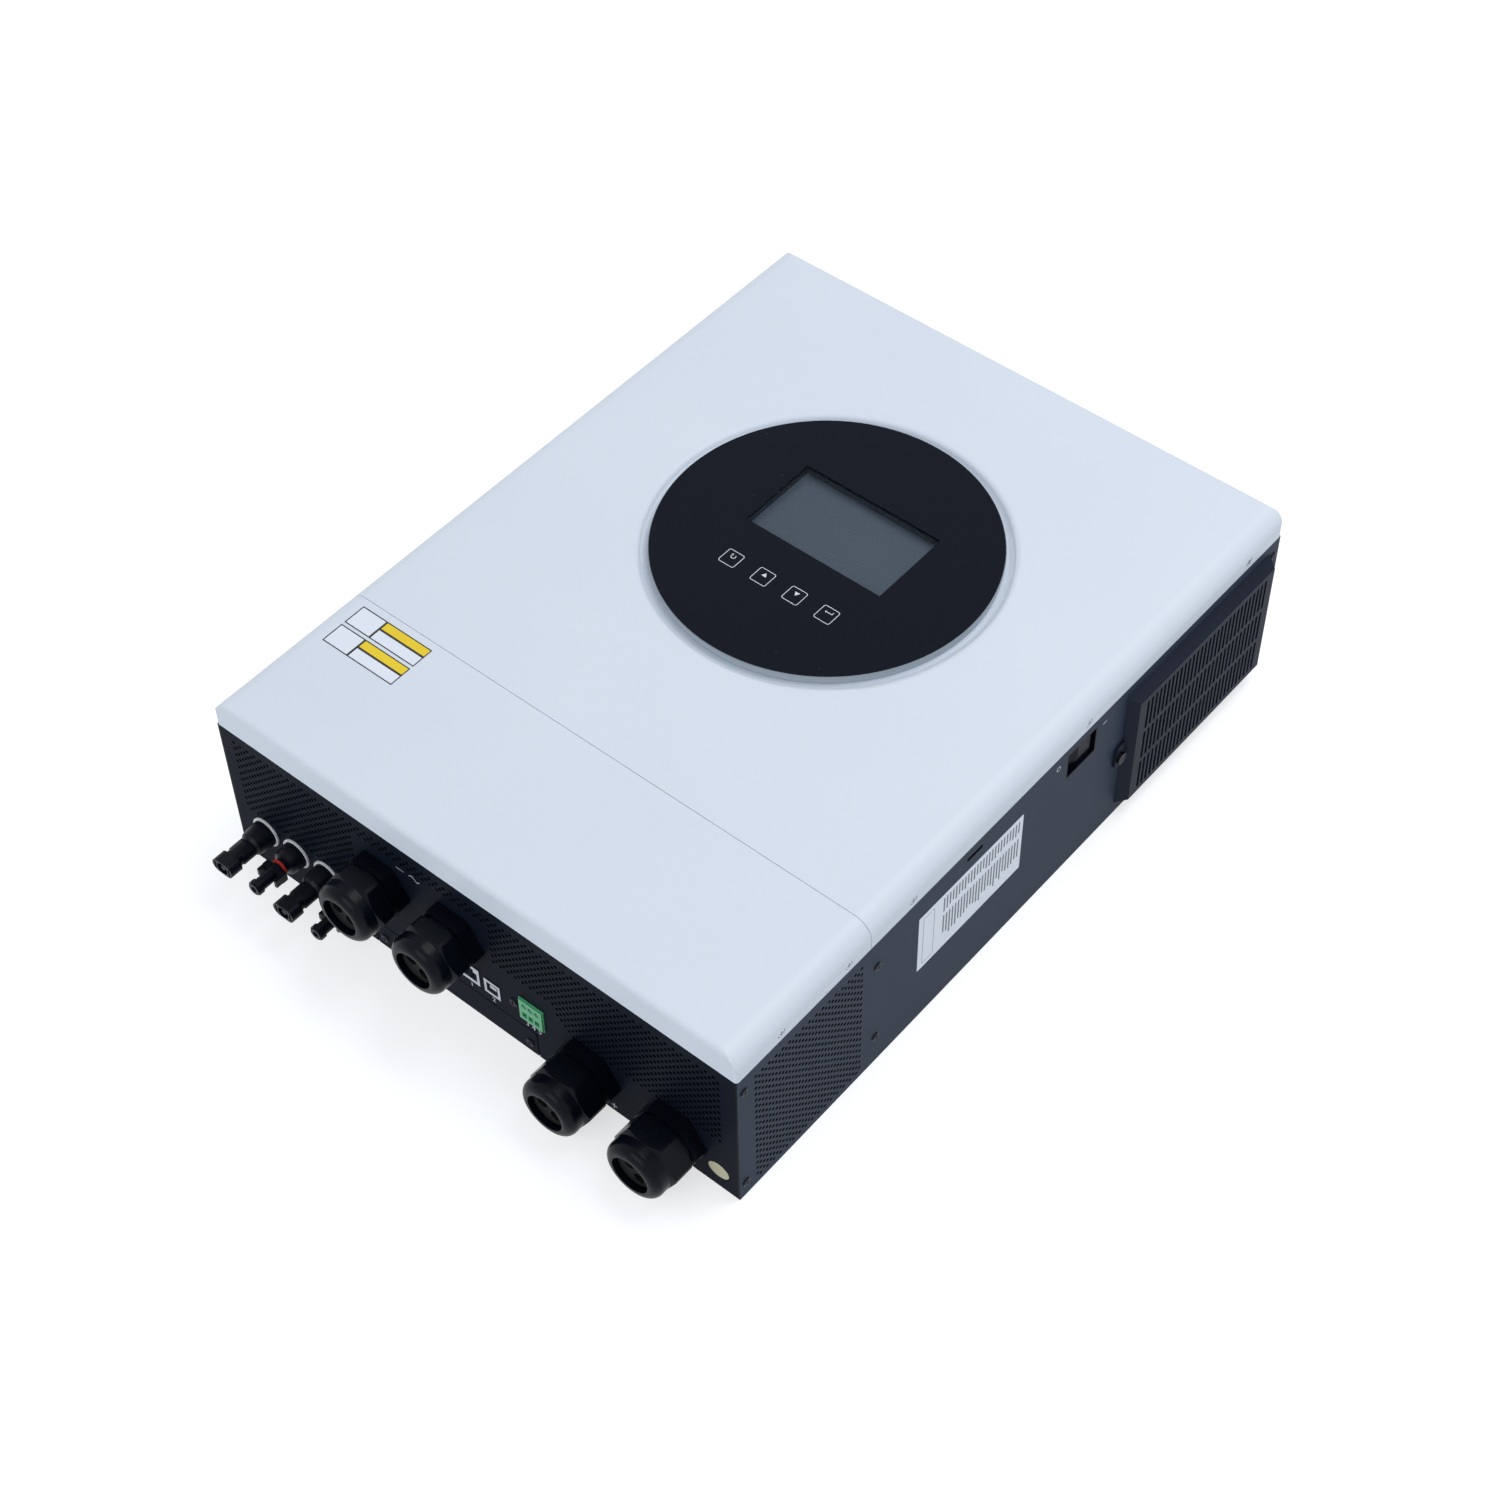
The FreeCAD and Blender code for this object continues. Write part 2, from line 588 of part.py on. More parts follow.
def slot_wire(x, y, width, length):
    """An upright slot with round ends, drawn clockwise."""
    radius = width / 2
    reach = length / 2 - radius
    top_arc = Part.Arc(Vector(x - radius, y + reach, 0), Vector(x, y + reach + radius, 0),
                       Vector(x + radius, y + reach, 0))
    bottom_arc = Part.Arc(Vector(x + radius, y - reach, 0), Vector(x, y - reach - radius, 0),
                          Vector(x - radius, y - reach, 0))
    down = Part.LineSegment(Vector(x + radius, y + reach, 0), Vector(x + radius, y - reach, 0))
    up = Part.LineSegment(Vector(x - radius, y - reach, 0), Vector(x - radius, y + reach, 0))
    return Part.Wire([item.toShape() for item in (top_arc, down, bottom_arc, up)])


def box_wire(x, y):
    """A rectangular hole between two values on each axis, drawn clockwise."""
    low_x, high_x = (as_size(value).value for value in x)
    low_y, high_y = (as_size(value).value for value in y)
    corners = [(low_x, low_y), (low_x, high_y), (high_x, high_y), (high_x, low_y), (low_x, low_y)]
    return Part.makePolygon([Vector(cx, cy, 0) for cx, cy in corners])


def sheet_panel(name, border, holes, spot, turn):
    """A flat sheet with many holes: its border and holes are drawn in its own XY plane."""
    corners = [Vector(as_size(x).value, as_size(y).value, 0) for x, y in border]
    outside = Part.makePolygon(corners + corners[:1])
    face = Part.Face([outside] + holes)
    panel = doc.addObject("Part::Feature", name)
    panel.Shape = face.extrude(Vector(0, 0, chassis_sheet.value))
    panel.Placement = Placement(Vector(*(as_size(value).value for value in spot)), turn)
    return panel


def lattice(start, stop, floor, ceiling, wanted=lambda x, y: True):
    """Centres of the staggered ventilation holes in a rectangle, from its top left corner."""
    pitch = vent_pitch.value
    rows = int((ceiling - floor) / (pitch / 2) + 0.5) + 1
    for row in range(rows):
        y = ceiling - row * pitch / 2
        x = start + (row % 2) * pitch / 2
        while x <= stop + 0.01:
            if wanted(x, y):
                yield x, y
            x += pitch


def copies(name, master, spots):
    """One solid repeated as a group: each spot is a place and the way its Z axis points."""
    doc.recompute()
    shapes = []
    for spot, towards in spots:
        shape = master.Shape.copy()
        shape.Placement = Placement(Vector(*(as_size(value).value for value in spot)), TOWARDS[towards])
        shapes.append(shape)
    feature = doc.addObject("Part::Feature", name)
    feature.Shape = Part.makeCompound(shapes)
    return feature


# ---------------------------------------------------------------- places of what fits through panels
gland_spots = [
    (left + ac_gland_from_left, ac_gland_up),
    (left + ac_gland_from_left + ac_gland_pitch, ac_gland_up),
    (right - dc_gland_from_right - dc_gland_pitch, dc_gland_up),
    (right - dc_gland_from_right, dc_gland_up),
]
gland_names = ["mains_input", "mains_output", "battery_positive", "battery_negative"]
seal_turns = [-20, -35, -25, -50]
pv_spots = [(left + pv_from_left + pv_pitch * index, pv_up) for index in range(4)]
fan_spots = [(dust_y + (fan_width + fan_space) / 2 * side, dust_up) for side in (-1, 1)]

network_x = (left + network_from_left, left + network_from_left + network_width)
network_z = (port_floor, port_floor + network_height)
usb_x = (left + usb_from_left, left + usb_from_left + usb_width)
usb_z = (port_floor, port_floor + usb_height)
relay_x = (left + relay_from_left, left + relay_from_left + relay_width)
relay_z = (port_floor, port_floor + relay_height)
blank_x = (left + blank_from_left, left + blank_from_left + blank_length)
blank_screws = [(blank_x[0] + blank_screw_in, blank_screw_up),
                (blank_x[1] - blank_screw_in, blank_screw_up)]
board_screw = (left + board_screw_from_left, port_floor + board_screw_up)

cover_screw_z = chassis_depth + cover_screw_up
cover_screw_y = [bottom + cover_screw_1, split - cover_screw_2, split + cover_screw_3,
                 top - cover_screw_4, top - cover_screw_5]
side_screws = [(bottom + flange_in, flange_low), (bottom + flange_in, flange_high),
               (split + divider_flange, divider_low), (split + divider_flange, divider_high),
               (top - flange_in, flange_low), (top - flange_in, flange_high)]
ear_screw_y = dust_y - dust_length / 2 - ear_reach / 2
dust_tab_end = dust_y + dust_length / 2 - dust_tab_in
dust_tab_y = (dust_tab_end - dust_tab_sheet, dust_tab_end)
dust_tab_z = [about(z, dust_tab) for z in about(dust_up, dust_tab_pitch)]


# ---------------------------------------------------------------- chassis
def back_plate():
    """Flat steel back with two keyholes at the top and two round fixing holes at the bottom."""
    body = new_body("back_plate")
    blank = sketch_on(body, "back_plate_blank", "XY_Plane")
    rectangle(blank, (inner_left, inner_right), (inner_bottom, inner_top))
    fixing_y = bottom + wall_row_in
    for side in (-1, 1):
        circle(blank, wall_hole_pitch / 2 * side, fixing_y, wall_hole)
    pad(body, blank, chassis_sheet)
    wide = sketch_on(body, "keyhole_wide", "XY_Plane")
    narrow = sketch_on(body, "keyhole_narrow", "XY_Plane")
    keyhole_y = top - wall_row_in
    for side in (-1, 1):
        x = wall_hole_pitch / 2 * side
        circle(wide, x, keyhole_y - keyhole_drop, keyhole_head)
        rectangle(narrow, (x - wall_hole, x + wall_hole), (keyhole_y - keyhole_drop, keyhole_y))
    pocket(body, wide, chassis_sheet, reverse=True)
    pocket(body, narrow, chassis_sheet, reverse=True)
    ends = sketch_on(body, "keyhole_ends", "XY_Plane")
    for side in (-1, 1):
        circle(ends, wall_hole_pitch / 2 * side, keyhole_y, wall_hole)
    pocket(body, ends, chassis_sheet, reverse=True)
    node("back_plate", body)


def connector_panel():
    """Perforated end panel that carries the glands, the solar connectors and the ports."""
    holes = []
    for x, z in gland_spots:
        holes.append(round_wire(x.value, z.value, gland_thread.value / 2 + hole_gap.value))
    for x, z in pv_spots:
        holes.append(round_wire(x.value, z.value, pv_thread.value / 2 + hole_gap.value))
    for x, z in ((network_x, network_z), (usb_x, usb_z), (relay_x, relay_z)):
        gap = hole_gap
        holes.append(box_wire((x[0] - gap, x[1] + gap), (z[0] - gap, z[1] + gap)))
    holes.append(round_wire(board_screw[0].value, board_screw[1].value,
                            screw_shank.value + hole_gap.value))
    start = left.value + vent_margin.value
    stop = right.value - vent_margin.value
    plain_start = start + left_vents.value
    plain_stop = plain_start + blank_width.value
    strip = vent_top.value - 1.1 * vent_pitch.value
    shelf = (relay_z[1] + vent_shelf).value
    slope_start = (relay_x[1] + vent_slope_start).value

    def wanted(x, z):
        if z > strip or x < plain_start + 0.01:
            return True
        if x < plain_stop:
            return False
        if x < slope_start:
            return z > shelf
        along = min(1.0, (x - slope_start) / vent_slope.value)
        return z > shelf + (vent_bottom.value - shelf) * along - 0.01

    for x, z in lattice(start, stop, vent_bottom.value, vent_top.value, wanted):
        holes.append(round_wire(x, z, vent_radius.value))
    border = [(inner_left, 0), (blank_x[0], 0), (blank_x[0], blank_height), (blank_x[1], blank_height),
              (blank_x[1], 0), (inner_right, 0), (inner_right, chassis_depth), (inner_left, chassis_depth)]
    panel = sheet_panel("connector_panel", border, holes, (0, inner_bottom, 0), TOWARDS["-y"])
    node("connector_panel", panel)


def side_panel(name, side):
    """Steel side: vents for the wiring space, and either the fan openings or the exhaust slots."""
    holes = []
    low = (bottom + side_vent_in).value
    for y, z in lattice(low, low + side_vents.value, side_vent_bottom.value, side_vent_top.value):
        holes.append(round_wire(y, z, vent_radius.value))
    for y, z in side_screws:
        holes.append(round_wire(y.value, z.value, screw_shank.value + hole_gap.value))
    if side > 0:
        for y, z in fan_spots:
            holes.append(round_wire(y.value, z.value, fan_opening.value))
        holes.append(round_wire(ear_screw_y.value, dust_up.value, screw_shank.value + fit_gap.value))
        slot_y = (dust_tab_y[0] - rest_gap, dust_tab_y[1] + rest_gap)
        for span in dust_tab_z:
            holes.append(box_wire(slot_y, (span[0] - rest_gap, span[1] + rest_gap)))
        holes.append(box_wire(about(switch_y, switch_length), about(switch_up, switch_width)))
        holes.append(box_wire(about(top - slit_from_top, slit_length), about(slit_up, slit_width)))
    else:
        count = int(dust_length.value / exhaust_pitch.value)
        first = dust_y.value - (count - 1) * exhaust_pitch.value / 2
        for row in (-1, 0, 1):
            for index in range(count):
                holes.append(slot_wire(first + index * exhaust_pitch.value,
                                       dust_up.value + row * slot_row.value,
                                       slot_width.value, exhaust_slot.value))
    border = [(bottom, 0), (top, 0), (top, chassis_depth), (bottom, chassis_depth)]
    across = Rotation(Vector(1, 1, 1), 120)
    start = inner_right if side > 0 else left
    panel = sheet_panel(name, border, holes, (start, 0, 0), across)
    node(name, panel)


def chassis_pieces():
    """The plain sheets and brackets that join the panels."""
    node("top_end_panel", block("top_end_panel", (inner_left, inner_right), (inner_top, top),
                                (0, chassis_depth)))
    gap = blank_gap
    body = new_body("blanking_plate")
    face = sketch_on(body, "blanking_face", "XZ_Plane", -inner_bottom)
    rectangle(face, (blank_x[0] + gap, blank_x[1] - gap), (0, blank_height - gap))
    for x, z in blank_screws:
        circle(face, x, z, screw_shank + hole_gap)
    plate = pad(body, face, chassis_sheet)
    upper = runs_along("y", lambda middle: near(middle.z, blank_height - gap))
    fillet(body, plate, 2.5, upper)
    node("blanking_plate", body)

    web = (split - chassis_sheet, split)
    body = new_body("divider_blank")
    profile = sketch_on(body, "divider_profile", "XY_Plane", chassis_sheet)
    leg = web[1] + divider_leg
    inside = (inner_left + chassis_sheet, inner_right - chassis_sheet)
    outline(profile, [(inner_left, web[0]), (inner_right, web[0]), (inner_right, leg), (inside[1], leg),
                      (inside[1], web[1]), (inside[0], web[1]), (inside[0], leg), (inner_left, leg)])
    pad(body, profile, chassis_depth - chassis_sheet * 2 - 6)
    windows = sketch_on(body, "divider_windows", "XZ_Plane", -web[1])
    for x, z in gland_spots:
        rectangle(windows, about(x, 30), about(z, 24))
    pocket(body, windows, chassis_sheet * 2, reverse=True)
    holes = [rod(f"divider_hole_{index}", screw_shank + fit_gap, case_width, (left, y, z), "+x")
             for index, (y, z) in enumerate(side_screws[2:4])]
    node("divider_plate", cut("divider_plate", body, *holes))

    brackets = []
    for side in (-1, 1):
        for end in (-1, 1):
            corner_x = inner_right * side
            corner_y = inner_top * end
            ends_x = (corner_x, corner_x - bracket_leg * side)
            ends_y = (corner_y, corner_y - bracket_leg * end)
            leaf_x = (corner_x, corner_x - chassis_sheet * side)
            leaf_y = (corner_y, corner_y - chassis_sheet * end)
            name = f"bracket_{side + 1}{end + 1}"
            upright = (chassis_sheet, chassis_depth - bracket_short)
            brackets.append(fuse(name, block(name + "_side", ordered(leaf_x), ordered(ends_y), upright),
                                 block(name + "_end", ordered(ends_x), ordered(leaf_y), upright)))
    for side, (x, z) in zip((-1, 1), blank_screws):
        name = f"plate_tab_{side + 1}"
        tab = block(name, about(x + 4 * side, 18), (inner_bottom, inner_bottom + chassis_sheet), (2, 17))
        brackets.append(tab)
    screws = [screw_hole(f"bracket_screw_{index}", spot) for index, spot in enumerate(bracket_screws())]
    node("corner_brackets", cut("corner_brackets", group("bracket_group", *brackets), *screws))

    rails = []
    for side in (-1, 1):
        face_x = ordered((inner_right * side, (inner_right - chassis_sheet) * side))
        rails.append(block(f"rail_{side + 1}", face_x, (bottom + rail_end, top - rail_end),
                           (chassis_depth - 4, cover_screw_z + 4)))
    holes = [rod(f"rail_hole_{index}", screw_shank + fit_gap, case_width, (left, y, cover_screw_z), "+x")
             for index, y in enumerate(cover_screw_y)]
    node("cover_rails", cut("cover_rails", group("rail_group", *rails), *holes))


def ordered(span):
    """A span with its lower value first."""
    return span if span[0].value < span[1].value else (span[1], span[0])


def bracket_screws():
    """Where screws pass the corner brackets and the blanking plate's tabs."""
    spots = []
    for y, z in (side_screws[0], side_screws[1], side_screws[4], side_screws[5]):
        spots.append(((left, y, z), "+x"))
        spots.append(((right - 8, y, z), "+x"))
    for x, z in blank_screws:
        spots.append(((x, bottom, z), "+y"))
    return spots


def screw_hole(name, spot):
    return rod(name, screw_shank + fit_gap, 8, spot[0], spot[1])


# ---------------------------------------------------------------- front covers
def cover_block(name, y, grow, open_ends):
    """The rounded block of one cover; grow is how far it lies inside the outer surface."""
    low = chassis_depth - (1 if grow else 0)
    high = cover_face - grow
    side = (left + grow, right - grow)
    length = (y[0] + grow if open_ends[0] else y[0] - grow, y[1] - grow if open_ends[1] else y[1] + grow)
    outer_y = length[0] if open_ends[0] else length[1]
    rolled = new_body(name + "_rolled")
    profile = sketch_on(rolled, name + "_rolled_profile", "XZ_Plane", -length[0])
    rectangle(profile, side, (low, high))
    rolled_pad = pad(rolled, profile, length[1] - length[0], reverse=True)
    fillet(rolled, rolled_pad, long_radius - grow, runs_along("y", lambda middle: near(middle.z, high)))
    bent = new_body(name + "_bent")
    bent_pad = pad(bent, cover_plan(bent, side, length, low), high - low)
    fillet(bent, bent_pad, end_radius - grow,
           runs_along("x", lambda middle: near(middle.z, high) and near(middle.y, outer_y)))
    plan = new_body(name + "_plan")
    plan_pad = pad(plan, cover_plan(plan, side, length, low), high - low)
    fillet(plan, plan_pad, corner_radius - grow, runs_along("z", lambda middle: near(middle.y, outer_y)))
    return common(name, rolled, bent, plan)


def cover_plan(body, side, length, low):
    """The rectangle of one cover seen from the front."""
    shape = sketch_on(body, body.Name + "_shape", "XY_Plane", low)
    rectangle(shape, side, length)
    return shape


def cover_screw_holes(name, rows):
    """Holes for the screws of one cover, through both of its sides."""
    holes = []
    for index in rows:
        holes.append(rod(f"{name}_screw_{index}", screw_head + hole_gap / 4, case_width,
                         (left, cover_screw_y[index], cover_screw_z), "+x"))
    return holes


def front_covers():
    """The two sheet steel covers, with the pressed recess for the display in the upper one."""
    lower_y = (bottom, split - cover_gap / 2)
    shell = cut("lower_shell", cover_block("lower_outside", lower_y, 0, (True, False)),
                cover_block("lower_inside", lower_y, cover_sheet, (True, False)))
    node("lower_front_cover", cut("lower_front_cover", shell, *cover_screw_holes("lower", (0, 1))))

    upper_y = (split + cover_gap / 2, top)
    shell = cut("upper_shell", cover_block("upper_outside", upper_y, 0, (False, True)),
                cover_block("upper_inside", upper_y, cover_sheet, (False, True)))
    weld = moat_lip + 3
    opening = rod("recess_opening", weld, cover_depth, (0, disc_y, chassis_depth + 5))
    dish = new_body("recess_dish")
    profile = sketch_on(dish, "recess_profile", "XZ_Plane")
    floor = -moat_depth
    under = -cover_sheet
    outline(profile, [(weld, under), (weld, 0), (moat_lip, 0), (moat_radius, floor), (cover_hole, floor),
                      (cover_hole, floor + under), (moat_radius + 0.7, floor + under),
                      (moat_lip + 0.7, under)])
    turned = revolve(dish, profile)
    soft = fillet(dish, turned, moat_bend, is_ring(moat_lip, 0))
    fillet(dish, soft, moat_foot, is_ring(moat_radius, floor))
    place(dish, (0, disc_y, cover_face))
    pierced = cut("upper_pierced", shell, opening, *cover_screw_holes("upper", (2, 3, 4)))
    node("upper_front_cover", fuse("upper_front_cover", pierced, dish))


# ---------------------------------------------------------------- display
def display():
    """Round glass with its window, the moulded carrier, the liquid crystal panel and the key board."""
    window_x = about(as_size(0), window_width)
    window_y = about(disc_y + window_offset, window_height)
    body = new_body("display_glass")
    face = sketch_on(body, "glass_face", "XY_Plane", glass_face - glass_thickness)
    circle(face, 0, disc_y, disc_radius)
    rectangle(face, window_x, window_y)
    plate = pad(body, face, glass_thickness)

    def rim(edge):
        return isinstance(edge.Curve, Part.Circle) and near(edge.CenterOfMass.z, glass_face)

    chamfer(body, plate, glass_chamfer, rim)
    node("display_glass", body)
    gap = fit_gap * 2
    pane = block("display_window", (window_x[0] + gap, window_x[1] - gap),
                 (window_y[0] + gap, window_y[1] - gap), (glass_face - glass_thickness, glass_face))
    node("display_window", pane)

    floor = cover_face - moat_depth
    under_glass = glass_face - glass_thickness
    lcd_face = glass_face - lcd_below
    well_floor = lcd_face - lcd_thickness
    carrier = new_body("display_carrier")
    ring = sketch_on(carrier, "carrier_ring", "XY_Plane", floor)
    circle(ring, 0, disc_y, disc_radius - 0.6)
    rectangle(ring, window_x, window_y)
    for x, y in key_spots():
        circle(ring, x, y, key_hole)
    pad(carrier, ring, under_glass - floor)
    well = sketch_on(carrier, "carrier_well", "XY_Plane", well_floor)
    rectangle(well, window_x, window_y)
    rectangle(well, (window_x[0] - well_wall, window_x[1] + well_wall),
              (window_y[0] - well_wall, window_y[1] + well_wall))
    pad(carrier, well, floor - well_floor)
    posts = sketch_on(carrier, "carrier_posts", "XY_Plane", well_floor)
    for x in about(as_size(0), post_across):
        for y in (disc_y - post_below, disc_y + post_above):
            circle(posts, x, y, post_radius)
    pad(carrier, posts, floor - well_floor)
    node("display_carrier", carrier)

    gap = hole_gap
    node("lcd_module", block("lcd_module", (window_x[0] + gap, window_x[1] - gap),
                             (window_y[0] + gap, window_y[1] - gap), (well_floor, lcd_face)))
    board_y = (disc_y - post_below - display_board_edge, disc_y + post_above + display_board_edge)
    node("display_board", block("display_board", about(as_size(0), display_board_width), board_y,
                                (well_floor - board_sheet, well_floor)))
    springs = [tube(f"key_spring_{index}", key_spring, key_spring - key_spring_wire,
                    under_glass - well_floor, (x, y, well_floor))
               for index, (x, y) in enumerate(key_spots())]
    node("touch_key_springs", group("touch_key_springs", *springs))


def key_spots():
    """Centres of the four touch keys."""
    return [(key_pitch * (index - 1.5), disc_y - key_drop) for index in range(4)]


# ---------------------------------------------------------------- glands
def gland_parts():
    """Cable glands: body with its thread, lock nut, seal with two cable holes, and dome nut."""
    neck = gland_thread / 2 + 0.5
    nut_bore = neck + fit_gap
    corner = gland_flats / 2 * 1.125
    nut_start = gland_collar + rest_gap
    dome = gland_flats / 2 - 0.2
    throat = gland_mouth / 2
    bodies, lock_nuts, seals = [], [], []
    for index, (x, z) in enumerate(gland_spots):
        name = gland_names[index]
        gland_reach = ac_gland_reach if index < 2 else dc_gland_reach
        spot = (x, bottom, z)
        hexagon = hex_prism(name + "_flange", gland_flats, gland_collar, spot, "-y")
        trim = rod(name + "_flange_trim", corner, gland_collar, spot, "-y")
        flange = common(name + "_collar", hexagon, trim)
        stem = rod(name + "_stem", neck, gland_reach - 9 - gland_collar,
                   (x, bottom - gland_collar, z), "-y")
        inner = rod(name + "_thread", gland_thread / 2, 14 + chassis_sheet, spot, "+y")
        bore = rod(name + "_bore", gland_bore / 2, 60, (x, bottom + 20, z), "-y")
        bodies.append(cut(name + "_body", fuse(name + "_solid", flange, stem, inner), bore))

        nut_hex = hex_prism(name + "_lock_hex", gland_flats, lock_nut, (x, inner_bottom, z), "+y")
        nut_hole = rod(name + "_lock_hole", gland_thread / 2 + fit_gap, 20, (x, bottom, z), "+y")
        lock_nuts.append(cut(name + "_lock", nut_hex, nut_hole))

        seal = new_body(name + "_seal")
        face = sketch_on(seal, name + "_seal_face", "XY_Plane", seal_start)
        circle(face, 0, 0, gland_bore / 2 - fit_gap)
        for side in (-1, 1):
            angle = math.radians(seal_turns[index])
            reach = seal_pitch / 2 * side
            circle(face, reach * math.cos(angle), reach * math.sin(angle), seal_hole / 2)
        pad(seal, face, gland_reach - seal_start - seal_inset)
        seals.append(place(seal, spot, "-y"))

        nut = new_body(name + "_turned")
        profile = sketch_on(nut, name + "_nut_profile", "XZ_Plane")
        mid = gland_reach - 14
        outline(profile, [(nut_bore, nut_start), (dome - 0.8, nut_start), (dome - 0.8, nut_start + 1.6),
                          (corner, nut_start + 3.2), (corner, mid), (dome, mid + 2), (dome, gland_reach),
                          (throat, gland_reach), (throat, gland_reach - 3.4),
                          (nut_bore, gland_reach - 7.5)])
        turned = revolve(nut, profile)
        fillet(nut, turned, gland_crown, is_ring(dome, gland_reach))
        place(nut, spot, "-y")
        flats = hex_prism(name + "_flats", gland_flats, gland_reach, (x, bottom - 2, z), "-y")
        node(name + "_gland_nut", common(name + "_gland_nut", nut, flats))
    node("gland_bodies", group("gland_bodies", *bodies))
    node("gland_lock_nuts", group("gland_lock_nuts", *lock_nuts))
    node("gland_seals", group("gland_seals", *seals))


def hex_prism(name, flats, length, spot, towards):
    """A hexagonal bar that stands on two of its corners."""
    prism = doc.addObject("Part::Prism", name)
    prism.Polygon = 6
    bind(prism, "Circumradius", as_size(flats) / math.sqrt(3))
    bind(prism, "Height", length)
    return place(prism, spot, towards)


# ---------------------------------------------------------------- solar connectors
def solar_connectors():
    """Two wide and two slim panel connectors with white washers, lock nuts and red rings."""
    washers, nuts, wide, slim, rings = [], [], [], [], []
    for index, (x, z) in enumerate(pv_spots):
        name = f"pv_{index + 1}"
        spot = (x, bottom, z)
        washers.append(tube(name + "_washer", pv_washer / 2, pv_thread / 2 + hole_gap, pv_washer_sheet,
                            spot, "-y"))
        hexagon = hex_prism(name + "_hex", pv_nut_flats, pv_nut, (x, inner_bottom, z), "+y")
        thread = rod(name + "_hex_hole", pv_thread / 2 + fit_gap, 12, spot, "+y")
        nuts.append(cut(name + "_nut", hexagon, thread))
        if index % 2:
            slim.append(slim_connector(name, spot))
            rings.append(tube(name + "_ring", pv_neck + 0.9, pv_neck + fit_gap, pv_ring,
                              (x, bottom - 14.6, z), "-y"))
        else:
            wide.append(wide_connector(name, spot))
    node("pv_washers", group("pv_washers", *washers))
    node("pv_lock_nuts", group("pv_lock_nuts", *nuts))
    node("pv_wide_connectors", group("pv_wide_connectors", *wide))
    node("pv_slim_connectors", group("pv_slim_connectors", *slim))
    node("pv_red_rings", group("pv_red_rings", *rings))


def connector_barrel(name, corners):
    """A turned barrel with its thread through the panel; corners run out from the washer."""
    body = new_body(name + "_barrel")
    profile = sketch_on(body, name + "_barrel_profile", "XZ_Plane")
    tail = -(chassis_sheet + 8)
    start = pv_washer_sheet
    outline(profile, [(0, tail), (pv_thread / 2, tail), (pv_thread / 2, start), (pv_flange, start),
                      (pv_flange, 4)] + corners)
    revolve(body, profile)
    return body


def wide_connector(name, spot):
    """Socket type: a long sleeve of flat oval section, ending in two prongs beside a round mouth."""
    barrel = connector_barrel(name, [(9.2, 9), (8.6, 13.5), (7, 15.5), (7, 17), (0, 17)])
    x, y, z = spot
    place(barrel, spot, "-y")
    front = y - pv_wide_reach
    sleeve = oval_bar(name + "_sleeve", x, z, pv_wide_sleeve, pv_wide_height, (front + 0.7, y - 14))
    shoulder = oval_bar(name + "_shoulder", x, z, pv_wide_sleeve + 2, pv_wide_height - 1.5,
                        (y - 26, y - 16))
    head = oval_bar(name + "_head", x, z, pv_wide_head, pv_wide_height, (front, front + 9.2))
    solid = fuse(name + "_solid", barrel, sleeve, shoulder, head)
    mouth = rod(name + "_mouth", pv_wide_mouth, 16, (x, front - 0.8, z), "+y")
    slots = []
    for side in (-1, 1):
        slots.append(block(name + f"_slot_{side + 1}", about(x + 6.2 * side, 1.5),
                           (front - 0.8, front + 8.2), about(z, pv_wide_height - 4.6)))
    pin = rod(name + "_pin", pv_contact, 15, (x, front + 15.7, z), "-y")
    return fuse(name, cut(name + "_sleeved", solid, mouth, *slots), pin)


def oval_bar(name, x, z, width, height, span):
    """A bar along Y whose section is a flat oval."""
    radius = height / 2
    reach = width / 2 - radius
    ends = [rod(f"{name}_end_{side + 1}", radius, span[1] - span[0], (x + reach * side, span[0], z), "+y")
            for side in (-1, 1)]
    return fuse(name, block(name + "_middle", about(x, reach * 2), span, about(z, height)), *ends)


def slim_connector(name, spot):
    """Plug type: a stepped barrel, two side latches and a slim sleeve."""
    barrel = connector_barrel(name, [(9.2, 8), (8.4, 11.5), (pv_neck, 12.5), (pv_neck, 18), (0, 18)])
    x, y, z = spot
    place(barrel, spot, "-y")
    yoke = block(name + "_yoke", about(x, 17.4), (y - 21.5, y - 17), about(z, 7))
    latches = []
    for side in (-1, 1):
        latches.append(block(name + f"_latch_{side + 1}", about(x + 7.6 * side, 2.2), (y - 26.5, y - 21),
                             about(z, 6)))
    front = y - pv_slim_reach
    sleeve = rod(name + "_sleeve", pv_slim_sleeve, 20.5, (x, front, z), "+y")
    collar = rod(name + "_collar", pv_slim_sleeve + 1, 3.5, (x, front + 1, z), "+y")
    hole = rod(name + "_hole", pv_slim_bore, 14, (x, front - 1, z), "+y")
    return cut(name, fuse(name + "_solid", barrel, yoke, *latches, sleeve, collar), hole)


